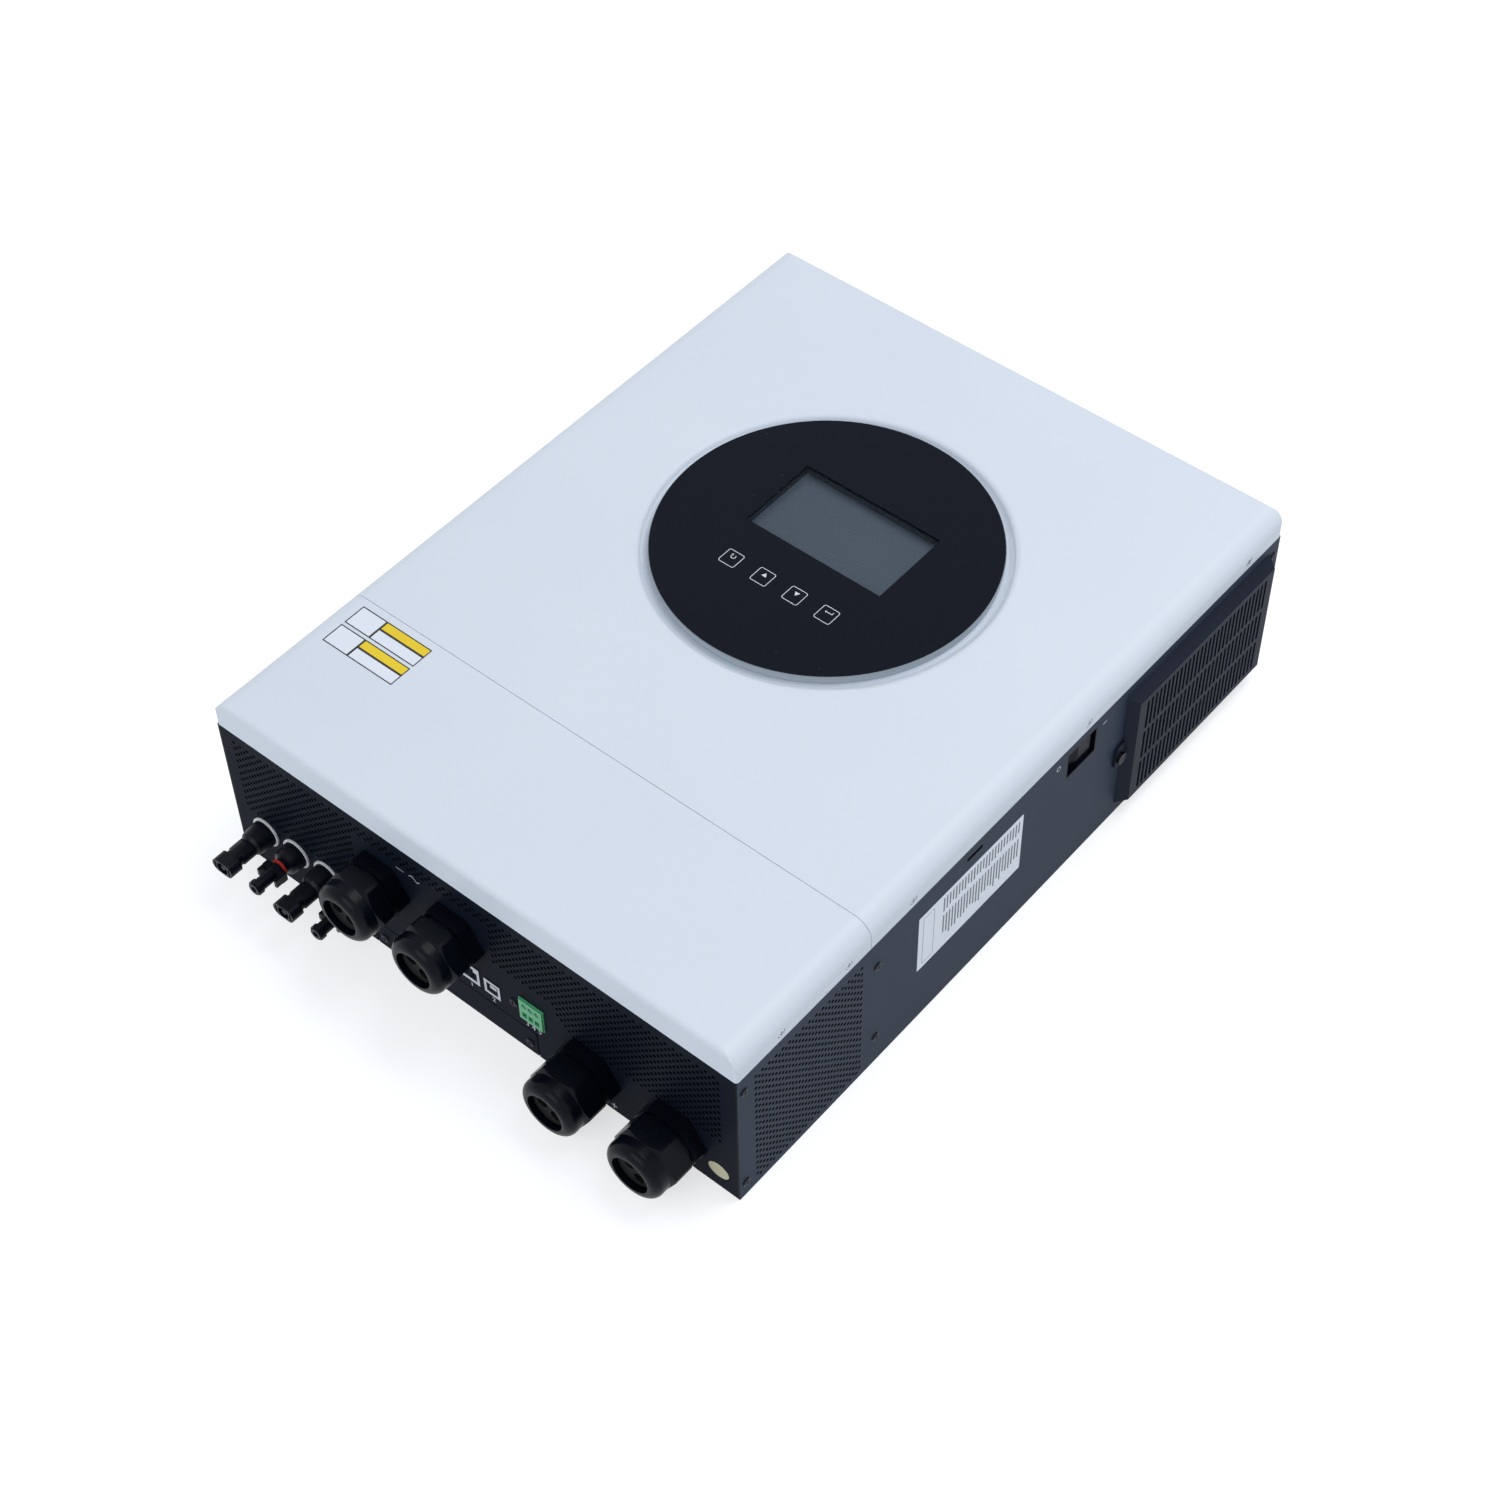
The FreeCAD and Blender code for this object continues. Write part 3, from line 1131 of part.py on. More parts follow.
# ---------------------------------------------------------------- ports
def ports():
    """Port board with the network jack, the data port and the plug-in relay terminal."""
    front = bottom - port_proud
    back = bottom + port_depth
    jack = block("network_shell", network_x, (front, back), network_z)
    middle = (network_x[0] + network_x[1]) / 2
    mouth = block("network_mouth", about(middle, network_mouth), (front - 1, front + 13),
                  (network_z[0] + 2.8, network_z[0] + 10.8))
    latch = block("network_latch", about(middle, network_latch), (front - 1, front + 13),
                  (network_z[0] + 10, network_z[0] + 13.6))
    node("network_jack", cut("network_jack", jack, mouth, latch))

    middle = (usb_x[0] + usb_x[1]) / 2
    centre = (usb_z[0] + usb_z[1]) / 2
    shell = block("usb_shell", usb_x, (front, back), usb_z)
    cavity = block("usb_cavity", about(middle, usb_cavity), (front - 1, front + 11),
                   about(centre, usb_cavity - 0.4))
    tongue = block("usb_tongue", about(middle, usb_tongue), (front + 1, front + 12),
                   about(centre, 3.2))
    node("usb_port", fuse("usb_port", cut("usb_open", shell, cavity), tongue))

    wall = relay_wall
    header = block("relay_header_block", relay_x, (front, back), relay_z)
    pit = block("relay_pit", (relay_x[0] + wall, relay_x[1] - wall), (front - 1, front + 12.5),
                (relay_z[0] + wall, relay_z[1] - wall))
    node("relay_header", cut("relay_header", header, pit))
    gap = wall + fit_gap
    plug_front = bottom - relay_proud
    plug = block("relay_plug_block", (relay_x[0] + gap, relay_x[1] - gap), (plug_front, front + 12),
                 (relay_z[0] + gap, relay_z[1] - gap))
    centre_x = (relay_x[0] + relay_x[1]) / 2
    screw_z = relay_z[1] - relay_screw_down
    holes, heads = [], []
    for index in (-1, 0, 1):
        x = centre_x + relay_pitch * index
        name = f"relay_{index + 1}"
        holes.append(block(name + "_wire_mouth", about(x, 3.7), (plug_front - 1, plug_front + 8),
                           about(relay_z[0] + relay_wire_up, 4.6)))
        holes.append(rod(name + "_screw_well", 2, 3, (x, plug_front - 1, screw_z), "+y"))
        head = rod(name + "_screw", 1.85, 1.2, (x, plug_front + 0.8, screw_z), "+y")
        slit = block(name + "_slit", about(x, 3), (plug_front + 0.5, plug_front + 1.3),
                     about(screw_z, 0.6))
        heads.append(cut(name + "_head", head, slit))
    node("relay_plug", cut("relay_plug", plug, *holes))
    node("relay_plug_screws", group("relay_plug_screws", *heads))

    board_y = (inner_bottom + 0.5, inner_bottom + 0.5 + port_board_depth)
    board = block("port_board", (network_x[0] - 4, relay_x[1] + 3), board_y,
                  (port_floor - board_sheet, port_floor))
    legs = []
    leg_height = port_floor - board_sheet - chassis_sheet
    for x in (network_x[0] + 2, relay_x[1] - 3):
        for y in (board_y[1] - 6, board_y[1] - 30):
            legs.append(rod(f"port_leg_{len(legs)}", board_leg, leg_height, (x, y, chassis_sheet)))
    node("port_board", board)
    return legs


# ---------------------------------------------------------------- right side
def dust_cover():
    """Moulded grille over the fans: mitred borders, three rows of slots and two screw ears."""
    base = right + fit_gap * 2
    body = new_body("dust_hood")
    low_x, low_y = dust_height / 2, dust_length / 2
    foot = sketch_on(body, "hood_foot", "XY_Plane")
    rectangle(foot, (-low_x, low_x), (-low_y, low_y))
    crown = sketch_on(body, "hood_crown", "XY_Plane", dust_proud)
    high_x, high_y = low_x - dust_slope, low_y - dust_slope
    rectangle(crown, (-high_x, high_x), (-high_y, high_y))
    outside = body.newObject("PartDesign::AdditiveLoft", "hood_outside")
    outside.Profile = foot
    outside.Sections = [crown]
    outside.Ruled = True
    hollow_foot = sketch_on(body, "hollow_foot", "XY_Plane")
    thin_x, thin_y = low_x - dust_wall, low_y - dust_wall
    rectangle(hollow_foot, (-thin_x, thin_x), (-thin_y, thin_y))
    hollow_top = sketch_on(body, "hollow_top", "XY_Plane", dust_proud - dust_wall)
    deep_x, deep_y = high_x - dust_wall / 2, high_y - dust_wall / 2
    rectangle(hollow_top, (-deep_x, deep_x), (-deep_y, deep_y))
    inside = body.newObject("PartDesign::SubtractiveLoft", "hood_inside")
    inside.Profile = hollow_foot
    inside.Sections = [hollow_top]
    inside.Ruled = True
    slot = sketch_on(body, "hood_slot", "XY_Plane", dust_proud)
    first = -(slot_pitch * (slot_columns - 1) / 2)
    rectangle(slot, about(-slot_row, slot_length), about(first, slot_width))
    opened = pocket(body, slot, dust_wall * 2)
    grid = body.newObject("PartDesign::MultiTransform", "hood_grid")
    along = body.newObject("PartDesign::LinearPattern", "hood_columns")
    along.Direction = (origin_axis(body, "Y_Axis"), [""])
    bind(along, "Length", slot_pitch * (slot_columns - 1))
    bind(along, "Occurrences", slot_columns)
    across = body.newObject("PartDesign::LinearPattern", "hood_rows")
    across.Direction = (origin_axis(body, "X_Axis"), [""])
    bind(across, "Length", slot_row * 2)
    across.Occurrences = 3
    grid.Originals = [opened]
    grid.Transformations = [along, across]
    body.Tip = grid
    place(body, (base, dust_y, dust_up), "+x")
    edge_y = dust_y - low_y
    outer = edge_y - ear_reach
    tab = new_body("ear")
    shape = sketch_on(tab, "ear_shape", "YZ_Plane")
    rectangle(shape, (outer, edge_y + 0.6), about(dust_up, ear_height))
    circle(shape, ear_screw_y, dust_up, screw_shank + fit_gap)
    plate = pad(tab, shape, dust_wall)
    fillet(tab, plate, ear_reach * 0.7, runs_along("x", lambda middle: near(middle.y, outer)))
    place(tab, (base, 0, 0))
    tabs = [block(f"locating_tab_{index}", (inner_right + rest_gap, base + 0.5), dust_tab_y, span)
            for index, span in enumerate(dust_tab_z)]
    node("dust_cover", fuse("dust_cover", body, tab, *tabs))

    gap = dust_wall + rest_gap
    foam = block("filter_foam", (base + 0.6, base + dust_proud - dust_wall),
                 about(dust_y, dust_length - 2 * gap - 2 * dust_slope + 2),
                 about(dust_up, dust_height - 2 * gap - 2 * dust_slope + 2))
    node("filter_foam", foam)
    head = rod("ear_head", ear_screw_head, 2.6, (base + dust_wall, ear_screw_y, dust_up), "+x")
    shank = rod("ear_shank", screw_shank, dust_wall + chassis_sheet,
                (base - chassis_sheet, ear_screw_y, dust_up), "+x")
    recess = block("ear_slot", (base + dust_wall + 1.6, base + dust_wall + 3),
                   about(ear_screw_y, 7), about(dust_up, 1))
    node("dust_cover_screw", cut("dust_cover_screw", fuse("ear_screw", head, shank), recess))


def fans():
    """Two axial fans behind the dust cover: a square frame with a hub, and a seven-bladed rotor."""
    screw_out = fan_width / 2 - fan_screw_in
    for name, (y, z) in zip(("lower", "upper"), fan_spots):
        start = inner_right - fan_depth
        frame = block(name + "_frame_block", (start, inner_right), about(y, fan_width), about(z, fan_width))
        airway = rod(name + "_airway", fan_opening, fan_depth + 2, (start - 1, y, z), "+x")
        corner_holes = [rod(f"{name}_corner_{index}", fan_screw, fan_depth + 2,
                            (start - 1, y + screw_out * dy, z + screw_out * dz), "+x")
                        for index, (dy, dz) in enumerate(((-1, -1), (-1, 1), (1, -1), (1, 1)))]
        shroud = cut(name + "_shroud", frame, airway, *corner_holes)
        base = rod(name + "_base", hub_radius - 1, fan_strut, (start, y, z), "+x")
        stator = rod(name + "_stator", 6, 12, (start, y, z), "+x")
        spoke_x = (start, start + fan_strut)
        arms = [block(name + "_arm_y", spoke_x, about(y, fan_opening * 2 + 2), about(z, 5)),
                block(name + "_arm_z", spoke_x, about(y, 5), about(z, fan_opening * 2 + 2))]
        bearing = rod(name + "_bearing", fan_pin + fit_gap, 20, (start - 1, y, z), "+x")
        spider = cut(name + "_spider", fuse(name + "_spider_solid", base, stator, *arms), bearing)
        node(name + "_fan_frame", fuse(name + "_fan_frame", shroud, spider))

        body = new_body(name + "_rotor")
        cup = sketch_on(body, name + "_cup", "XZ_Plane")
        low = fan_strut + 0.8
        high = fan_depth - 2
        outline(cup, [(0, 1), (fan_pin, 1), (fan_pin, 13), (7, 13), (7, high - 2.5),
                      (hub_radius - 1.6, high - 2.5),
                      (hub_radius - 1.6, low), (hub_radius, low), (hub_radius, high), (0, high)])
        revolve(body, cup)
        tip = fan_opening - blade_gap
        stations = ((hub_radius - 1, 38, 14), (tip, 58, 21))
        sections = []
        for number, (reach, pitch, chord) in enumerate(stations):
            section = sketch_on(body, f"{name}_blade_{number}", "YZ_Plane", reach)
            rectangle(section, (-(as_size(chord) / 2), as_size(chord) / 2), (-0.7, 0.7))
            turn = Rotation(Vector(0, 0, 1), 90 - pitch)
            section.AttachmentOffset = Placement(Vector(0, low.value + 9, reach.value), turn)
            sections.append(section)
        blade = body.newObject("PartDesign::AdditiveLoft", name + "_blade")
        blade.Profile = sections[0]
        blade.Sections = [sections[1]]
        blade.Ruled = True
        polar(body, blade, 7)
        sweep = rod(name + "_sweep", tip, fan_depth, (start, y, z), "+x")
        trimmed = common(name + "_fan_rotor", body, sweep)
        place(body, (start, y, z), "+x")
        node(name + "_fan_rotor", trimmed)


def power_switch():
    """Recessed rocker switch: housing through the side panel and a rocker on two side pins."""
    x_face = right
    x_back = right - switch_depth
    gap = hole_gap / 2
    outer_y = about(switch_y, switch_length - 2 * gap)
    outer_z = about(switch_up, switch_width - 2 * gap)
    shell = block("switch_shell", (x_back, x_face), outer_y, outer_z)
    stop = block("switch_stop", (inner_right - 2, inner_right), (outer_y[0] - 2, outer_y[1] + 2),
                 (outer_z[0] - 2, outer_z[1] + 1.4))
    cavity = block("switch_cavity", (x_back + 3, x_face + 1),
                   (outer_y[0] + switch_wall, outer_y[1] - switch_wall),
                   (outer_z[0] + switch_wall, outer_z[1] - switch_wall))
    pivot_x = x_face - rocker_pivot
    bearing = rod("switch_bearing", rocker_pin + fit_gap, outer_z[1] - outer_z[0] - 0.6,
                  (pivot_x, switch_y, outer_z[0] + 0.3))
    blades = [block(f"switch_blade_{index}", (x_back - 8, x_back + 0.5),
                    about(switch_y + 8 * index, 0.8), about(switch_up, switch_tab)) for index in (-1, 0, 1)]
    body = cut("switch_open", fuse("switch_solid", shell, stop), cavity, bearing)
    node("switch_housing", fuse("switch_housing", body, *blades))

    half = switch_length / 2 - gap - switch_wall - 1.2
    width = switch_width - 2 * (gap + switch_wall + rest_gap)
    rocker = new_body("power_rocker")
    side = sketch_on(rocker, "rocker_side", "XY_Plane", -width / 2)
    shoulder = rocker_rise - 1.8
    outline(side, [(rocker_rise, 0), (shoulder, half), (1.5, half), (-3, 4), (-3, -4), (1.5, -half),
                   (shoulder, -half)])
    paddle = pad(rocker, side, width)
    ridge = fillet(rocker, paddle, 0.8, runs_along("z", lambda middle: middle.x > 1 and abs(middle.y) > 1))
    pins = sketch_on(rocker, "rocker_pins", "XY_Plane", -(width / 2 + 0.9))
    circle(pins, 0, 0, rocker_pin)
    pad(rocker, pins, width + 1.8)
    bind(rocker, "Placement.Base.x", pivot_x)
    bind(rocker, "Placement.Base.y", switch_y)
    bind(rocker, "Placement.Base.z", switch_up)
    bind(rocker, "Placement.Rotation.Angle", -(rocker_swing / 2))
    node("power_rocker", rocker)


# ---------------------------------------------------------------- inside
def power_stage(port_legs):
    """Main board on its legs with heat sinks, transistors, capacitors, chokes and transformers."""
    board_top = board_up + board_sheet
    board_x = (inner_left + 8, inner_right - fan_depth - 6)
    board_y = (split + divider_leg + 4, inner_top - 16)
    node("power_board", block("power_board", board_x, board_y, (board_up, board_top)))
    legs = []
    inset = board_leg_in
    for x in (board_x[0] + inset, (board_x[0] + board_x[1]) / 2, board_x[1] - inset):
        for y in (board_y[0] + inset, (board_y[0] + board_y[1]) / 2, board_y[1] - inset):
            legs.append(rod(f"board_leg_{len(legs)}", board_leg, board_up - chassis_sheet,
                            (x, y, chassis_sheet)))
    node("board_legs", group("board_legs", *legs, *port_legs))

    sink_x = (board_x[0] + 4, board_x[1] - 4)
    transistors = []
    for name, (y, z) in zip(("lower", "upper"), fan_spots):
        body = new_body(name + "_heat_sink")
        start_y = y - sink_width / 2
        wall = sketch_on(body, name + "_sink_wall", "YZ_Plane", sink_x[0])
        rectangle(wall, (start_y, start_y + sink_web), (board_top, board_top + sink_height))
        pad(body, wall, sink_x[1] - sink_x[0])
        fin = sketch_on(body, name + "_sink_fin", "YZ_Plane", sink_x[0])
        rectangle(fin, (start_y, start_y + sink_width), (board_top + 3, board_top + 5))
        leaf = pad(body, fin, sink_x[1] - sink_x[0])
        linear(body, leaf, "Z_Axis", fin_pitch * (fin_count - 1), fin_count)
        node(name + "_heat_sink", body)
        for index in range(8):
            x = sink_x[0] + 40 + transistor_pitch * index
            transistors.append(block(f"{name}_transistor_{index}", about(x, transistor_width),
                                     (start_y - 5, start_y), (board_top, board_top + transistor_height)))
    node("power_transistors", group("power_transistors", *transistors))

    capacitors = []
    for row in range(2):
        for column in range(4):
            x = board_x[0] + 30 + capacitor_pitch * column
            y = split + 62 + capacitor_pitch * row
            capacitors.append(rod(f"capacitor_{row}{column}", capacitor_radius, capacitor_height,
                                  (x, y, board_top)))
    node("bus_capacitors", group("bus_capacitors", *capacitors))

    cores = []
    for index in range(2):
        x = board_x[1] - 40 - transformer_pitch * index
        cores.append(block(f"core_{index}", about(x, transformer_width),
                           about(split + 64, transformer_length),
                           (board_top, board_top + transformer_height)))
    node("transformers", group("transformers", *cores))
    chokes = [tube(f"choke_{index}", choke_radius, choke_bore, choke_height,
                   (board_x[1] - 30 - choke_pitch * index, split + 120, board_top))
              for index in range(3)]
    node("toroid_chokes", group("toroid_chokes", *chokes))
    relays = [block(f"relay_{index}_block", about(board_x[0] + 120 + 40 * index, 29),
                    about(split + 27, 13), (board_top, board_top + 20)) for index in range(4)]
    node("power_relays", group("power_relays", *relays))
    control = block("control_board", about(as_size(-10), control_width),
                    (split + 37, split + 37 + board_sheet), (board_top, board_top + control_height))
    node("control_board", control)


def wiring_space():
    """Terminal block for the mains, studs and bars for the battery, and the earth stud."""
    middle_x = (gland_spots[0][0] + gland_spots[1][0]) / 2
    bed_y = split - 42
    foot = chassis_sheet
    base = block("terminal_base", about(middle_x, terminal_width), about(bed_y, terminal_length),
                 (foot, foot + terminal_height))
    ways = [middle_x + terminal_pitch * (index - 2.5) for index in range(6)]
    pits = [block(f"terminal_pit_{index}", about(x, terminal_pitch - 3), about(bed_y, terminal_length + 2),
                  (foot + terminal_floor, foot + terminal_height + 1)) for index, x in enumerate(ways)]
    node("mains_terminal_block", cut("mains_terminal_block", base, *pits))
    screws = [rod(f"terminal_screw_{index}", 4, 4, (x, bed_y, foot + terminal_floor))
              for index, x in enumerate(ways)]

    blocks, studs, bars = [], [], []
    post_top = foot + battery_post
    bar_top = post_top + battery_bar
    for index, (x, z) in enumerate(gland_spots[2:]):
        blocks.append(block(f"battery_block_{index}", about(x, terminal_length),
                            about(bed_y, terminal_length), (foot, post_top)))
        span = about(x, battery_bar_width)
        bar = block(f"battery_bar_{index}_flat", span, (bed_y - 12, split + 26), (post_top, bar_top))
        step = block(f"battery_bar_{index}_foot", span, (split + 26 - battery_bar, split + 26),
                     (board_up + board_sheet, bar_top))
        hole = rod(f"battery_bar_{index}_hole", battery_stud + 0.1, 20, (x, bed_y, foot + 14))
        bars.append(cut(f"battery_bar_{index}", fuse(f"battery_bar_{index}_bent", bar, step), hole))
        stud = rod(f"battery_stud_{index}_rod", battery_stud, 16, (x, bed_y, post_top))
        nut = hex_prism(f"battery_stud_{index}_nut", 13, 6.5, (x, bed_y, bar_top), "+z")
        studs.append(fuse(f"battery_stud_{index}", stud, nut))
    node("battery_blocks", group("battery_blocks", *blocks))
    node("battery_bars", group("battery_bars", *bars))
    node("terminal_fasteners", group("terminal_fasteners", *screws, *studs))


# ---------------------------------------------------------------- fasteners
def fasteners():
    """Every case screw is one pan-headed screw with a cross recess."""
    master = cross_screw("case_screw", screw_head, 1, screw_shank, 6)
    spots = []
    for y, z in side_screws:
        spots.append(((right, y, z), "+x"))
        spots.append(((left, y, z), "-x"))
    for x, z in blank_screws:
        spots.append(((x, bottom, z), "-y"))
    spots.append(((board_screw[0], bottom, board_screw[1]), "-y"))
    node("case_screws", copies("case_screws", master, spots))
    flush = cross_screw("flush_screw", screw_head, 1.2, screw_shank, 3.4)
    spots = []
    for y in cover_screw_y:
        spots.append(((right - cover_sheet, y, cover_screw_z), "+x"))
        spots.append(((left + cover_sheet, y, cover_screw_z), "-x"))
    node("cover_screws", copies("cover_screws", flush, spots))


def cross_screw(name, head, head_height, shank, length):
    """A screw whose head stands on its own XY plane, with a cross cut into the head."""
    body = new_body(name)
    profile = sketch_on(body, name + "_profile", "XZ_Plane")
    outline(profile, [(0, -length), (shank, -length), (shank, 0), (head, 0), (head, head_height * 0.5),
                      (head * 0.75, head_height), (0, head_height)])
    revolve(body, profile)
    cross = sketch_on(body, name + "_cross", "XY_Plane", head_height)
    arm, half = 1.9, 0.4
    outline(cross, [(-arm, -half), (-half, -half), (-half, -arm), (half, -arm), (half, -half), (arm, -half),
                    (arm, half), (half, half), (half, arm), (-half, arm), (-half, half), (-arm, half)])
    pocket(body, cross, 0.7)
    return body


def main():
    back_plate()
    connector_panel()
    side_panel("right_side_panel", 1)
    side_panel("left_side_panel", -1)
    chassis_pieces()
    front_covers()
    display()
    gland_parts()
    solar_connectors()
    port_legs = ports()
    dust_cover()
    fans()
    power_switch()
    power_stage(port_legs)
    wiring_space()
    fasteners()
    doc.recompute()
    for obj in doc.Objects:
        if "Invalid" in obj.State or "Error" in obj.State:
            raise RuntimeError(f"{obj.Name} did not build: {obj.State}")
    for obj in nodes:
        if obj.Shape.isNull() or not obj.Shape.isValid():
            raise RuntimeError(f"{obj.Label} has no valid shape")
    os.makedirs("parts", exist_ok=True)
    for obj in nodes:
        obj.Shape.exportStep(os.path.join("parts", f"{obj.Label}.step"))
    print(f"{len(nodes)} nodes")


main()
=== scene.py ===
import math
import random

import bpy
from mathutils import Matrix, Vector


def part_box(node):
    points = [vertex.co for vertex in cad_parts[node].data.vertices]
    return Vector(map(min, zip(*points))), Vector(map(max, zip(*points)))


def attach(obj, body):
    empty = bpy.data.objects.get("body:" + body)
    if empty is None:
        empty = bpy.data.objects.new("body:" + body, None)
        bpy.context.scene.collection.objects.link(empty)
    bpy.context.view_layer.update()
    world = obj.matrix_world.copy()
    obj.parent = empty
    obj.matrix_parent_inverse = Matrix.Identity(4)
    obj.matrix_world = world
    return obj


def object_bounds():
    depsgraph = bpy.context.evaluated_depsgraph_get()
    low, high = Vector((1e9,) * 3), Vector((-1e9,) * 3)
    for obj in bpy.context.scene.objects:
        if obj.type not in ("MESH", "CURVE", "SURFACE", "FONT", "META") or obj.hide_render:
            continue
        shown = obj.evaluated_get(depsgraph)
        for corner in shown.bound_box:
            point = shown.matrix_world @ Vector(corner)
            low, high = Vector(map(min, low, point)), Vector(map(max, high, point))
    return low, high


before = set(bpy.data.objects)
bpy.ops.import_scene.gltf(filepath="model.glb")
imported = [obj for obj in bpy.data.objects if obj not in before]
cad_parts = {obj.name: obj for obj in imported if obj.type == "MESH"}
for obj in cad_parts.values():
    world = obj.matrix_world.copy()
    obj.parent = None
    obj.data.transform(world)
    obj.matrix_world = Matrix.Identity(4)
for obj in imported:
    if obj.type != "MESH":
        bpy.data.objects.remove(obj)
cad_low, cad_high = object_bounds()
MM = 0.001
BANDS = 3.14  # bands that a wave texture draws in one unit at scale 1


# ---------------------------------------------------------------------------------------------
# Helpers for materials
# ---------------------------------------------------------------------------------------------

def tone(code, alpha=1.0):
    """Linear colour of an sRGB hex code."""
    channels = [int(code[i:i + 2], 16) / 255 for i in (1, 3, 5)]
    linear = [c / 12.92 if c <= 0.04045 else ((c + 0.055) / 1.055) ** 2.4 for c in channels]
    return (*linear, alpha)


def per(size):
    """Texture scale of a pattern whose repeat is size millimetres."""
    return 1000.0 / size


def add(tree, kind, settings=None, links=None):
    """Adds one node, gives its properties and sockets their values, and links sockets into it."""
    node = tree.nodes.new(kind)
    for name, value in (settings or {}).items():
        if isinstance(name, int) or name in node.inputs:
            node.inputs[name].default_value = value
        else:
            setattr(node, name, value)
    for name, source in (links or {}).items():
        tree.links.new(source, node.inputs[name])
    return node


def blank(name):
    """An empty node material, and the object coordinates that its patterns use, in metres."""
    material = bpy.data.materials.new(name)
    material.use_nodes = True
    tree = material.node_tree
    tree.nodes.clear()
    place = add(tree, "ShaderNodeTexCoord").outputs["Object"]
    return material, tree, place


def shade(tree, sockets, links):
    """The surface shader and the output."""
    shader = add(tree, "ShaderNodeBsdfPrincipled", sockets, links)
    add(tree, "ShaderNodeOutputMaterial", {}, {"Surface": shader.outputs["BSDF"]})


def facing(tree, axis, low, high):
    """1 where a surface looks along an axis, either way, and 0 where it looks across it."""
    normal = add(tree, "ShaderNodeTexCoord").outputs["Normal"]
    parts = add(tree, "ShaderNodeSeparateXYZ", {}, {"Vector": normal})
    size = add(tree, "ShaderNodeMath", {"operation": "ABSOLUTE"}, {0: parts.outputs[axis]})
    return add(tree, "ShaderNodeMapRange", {"From Min": low, "From Max": high},
               {"Value": size.outputs["Value"]}).outputs["Result"]


def middle(node):
    """Centre of a node's box."""
    low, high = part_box(node)
    return (low + high) / 2


def within(tree, place, node, radius):
    """1 inside an upright cylinder about the middle of a node, and 0 outside it."""
    centre = middle(node)
    flat = add(tree, "ShaderNodeMapping", {"Location": (-centre.x, -centre.y, 0), "Scale": (1, 1, 0)},
               {"Vector": place})
    reach = add(tree, "ShaderNodeVectorMath", {"operation": "LENGTH"}, {0: flat.outputs["Vector"]})
    return add(tree, "ShaderNodeMath", {"operation": "LESS_THAN", 1: radius},
               {0: reach.outputs["Value"]}).outputs["Value"]


def grained(name, colour, second, roughness, grain, relief, drift=60.0, spread=0.05,
            stretch=(1, 1, 1), shaded_holes_along=None, ringed=None, **sockets):
    """A finish whose colour drifts slowly between two tones, with a fine grain in gloss and relief.
    A sheet with holes along an axis gets painted shade, near black, on the walls of its holes. A piece
    ringed at a radius about a node's middle has one colour inside the radius and another outside it."""
    material, tree, place = blank(name)
    slow = add(tree, "ShaderNodeTexNoise", {"Scale": per(drift), "Detail": 3.0}, {"Vector": place})
    mix = add(tree, "ShaderNodeMixRGB", {"Color1": tone(colour), "Color2": tone(second)},
              {"Fac": slow.outputs["Fac"]})
    if shaded_holes_along:
        # Painted shade: the walls of the holes, which look across the axis, are darkened to near black.
        mix = add(tree, "ShaderNodeMixRGB", {"Color1": tone("#030406")},
                  {"Fac": facing(tree, shaded_holes_along, 0.3, 0.6), "Color2": mix.outputs["Color"]})
    if ringed:
        node, radius, outer = ringed
        mix = add(tree, "ShaderNodeMixRGB", {"Color1": tone(outer)},
                  {"Fac": within(tree, place, node, radius), "Color2": mix.outputs["Color"]})
    along = add(tree, "ShaderNodeMapping", {"Scale": stretch}, {"Vector": place})
    fine = add(tree, "ShaderNodeTexNoise", {"Scale": per(grain), "Detail": 2.0},
               {"Vector": along.outputs["Vector"]})
    gloss = add(tree, "ShaderNodeMapRange", {"To Min": roughness - spread, "To Max": roughness + spread},
                {"Value": fine.outputs["Fac"]})
    bump = add(tree, "ShaderNodeBump", {"Strength": relief, "Distance": grain * MM * 0.25},
               {"Height": fine.outputs["Fac"]})
    values = {key.replace("_", " ").title().replace("Ior", "IOR"): value
              for key, value in sockets.items()}
    shade(tree, values, {"Base Color": mix.outputs["Color"], "Roughness": gloss.outputs["Result"],
                         "Normal": bump.outputs["Normal"]})
    return material


# ---------------------------------------------------------------------------------------------
# Finishes
# ---------------------------------------------------------------------------------------------

def white_powder_coat():
    """Cool white polyester powder on steel: satin, with the soft dimples that baked powder leaves.
    The dimples are drawn at 3 mm, a little coarser than real ones, so that they show."""
    return grained("white_powder_coat", "#D4DDE9", "#CED7E4", 0.44, 3.0, 0.05, drift=140.0, spread=0.03,
                   ior=1.5, specular_ior_level=0.3)


def charcoal_powder_coat(name="charcoal_powder_coat", shaded_holes_along=None):
    """Charcoal powder on the chassis sheets: a fine sand texture that breaks up the reflections."""
    return grained(name, "#2A3446", "#252F3F", 0.52, 1.6, 0.10, drift=90.0, shaded_holes_along=shaded_holes_along, ior=1.5,
                   specular_ior_level=0.08)


def shaded_charcoal_powder_coat():
    """The charcoal powder again on the connector panel, darker and duller than on the sides: painted
    shade for a face that reflects less light. The walls of its holes get painted shade as well.
    """
    return grained("shaded_charcoal_powder_coat", "#101622", "#0C121D", 0.54, 1.6, 0.10, drift=90.0,
                   shaded_holes_along="Y", ior=1.5, specular_ior_level=0.03)


def zinc_plated_steel():
    """Bright zinc on folded steel: pale blue-grey metal with soft drawn streaks."""
    return grained("zinc_plated_steel", "#B4B9BD", "#9FA5AB", 0.36, 2.0, 0.06, drift=12.0,
                   stretch=(1, 0.08, 1), metallic=1.0)


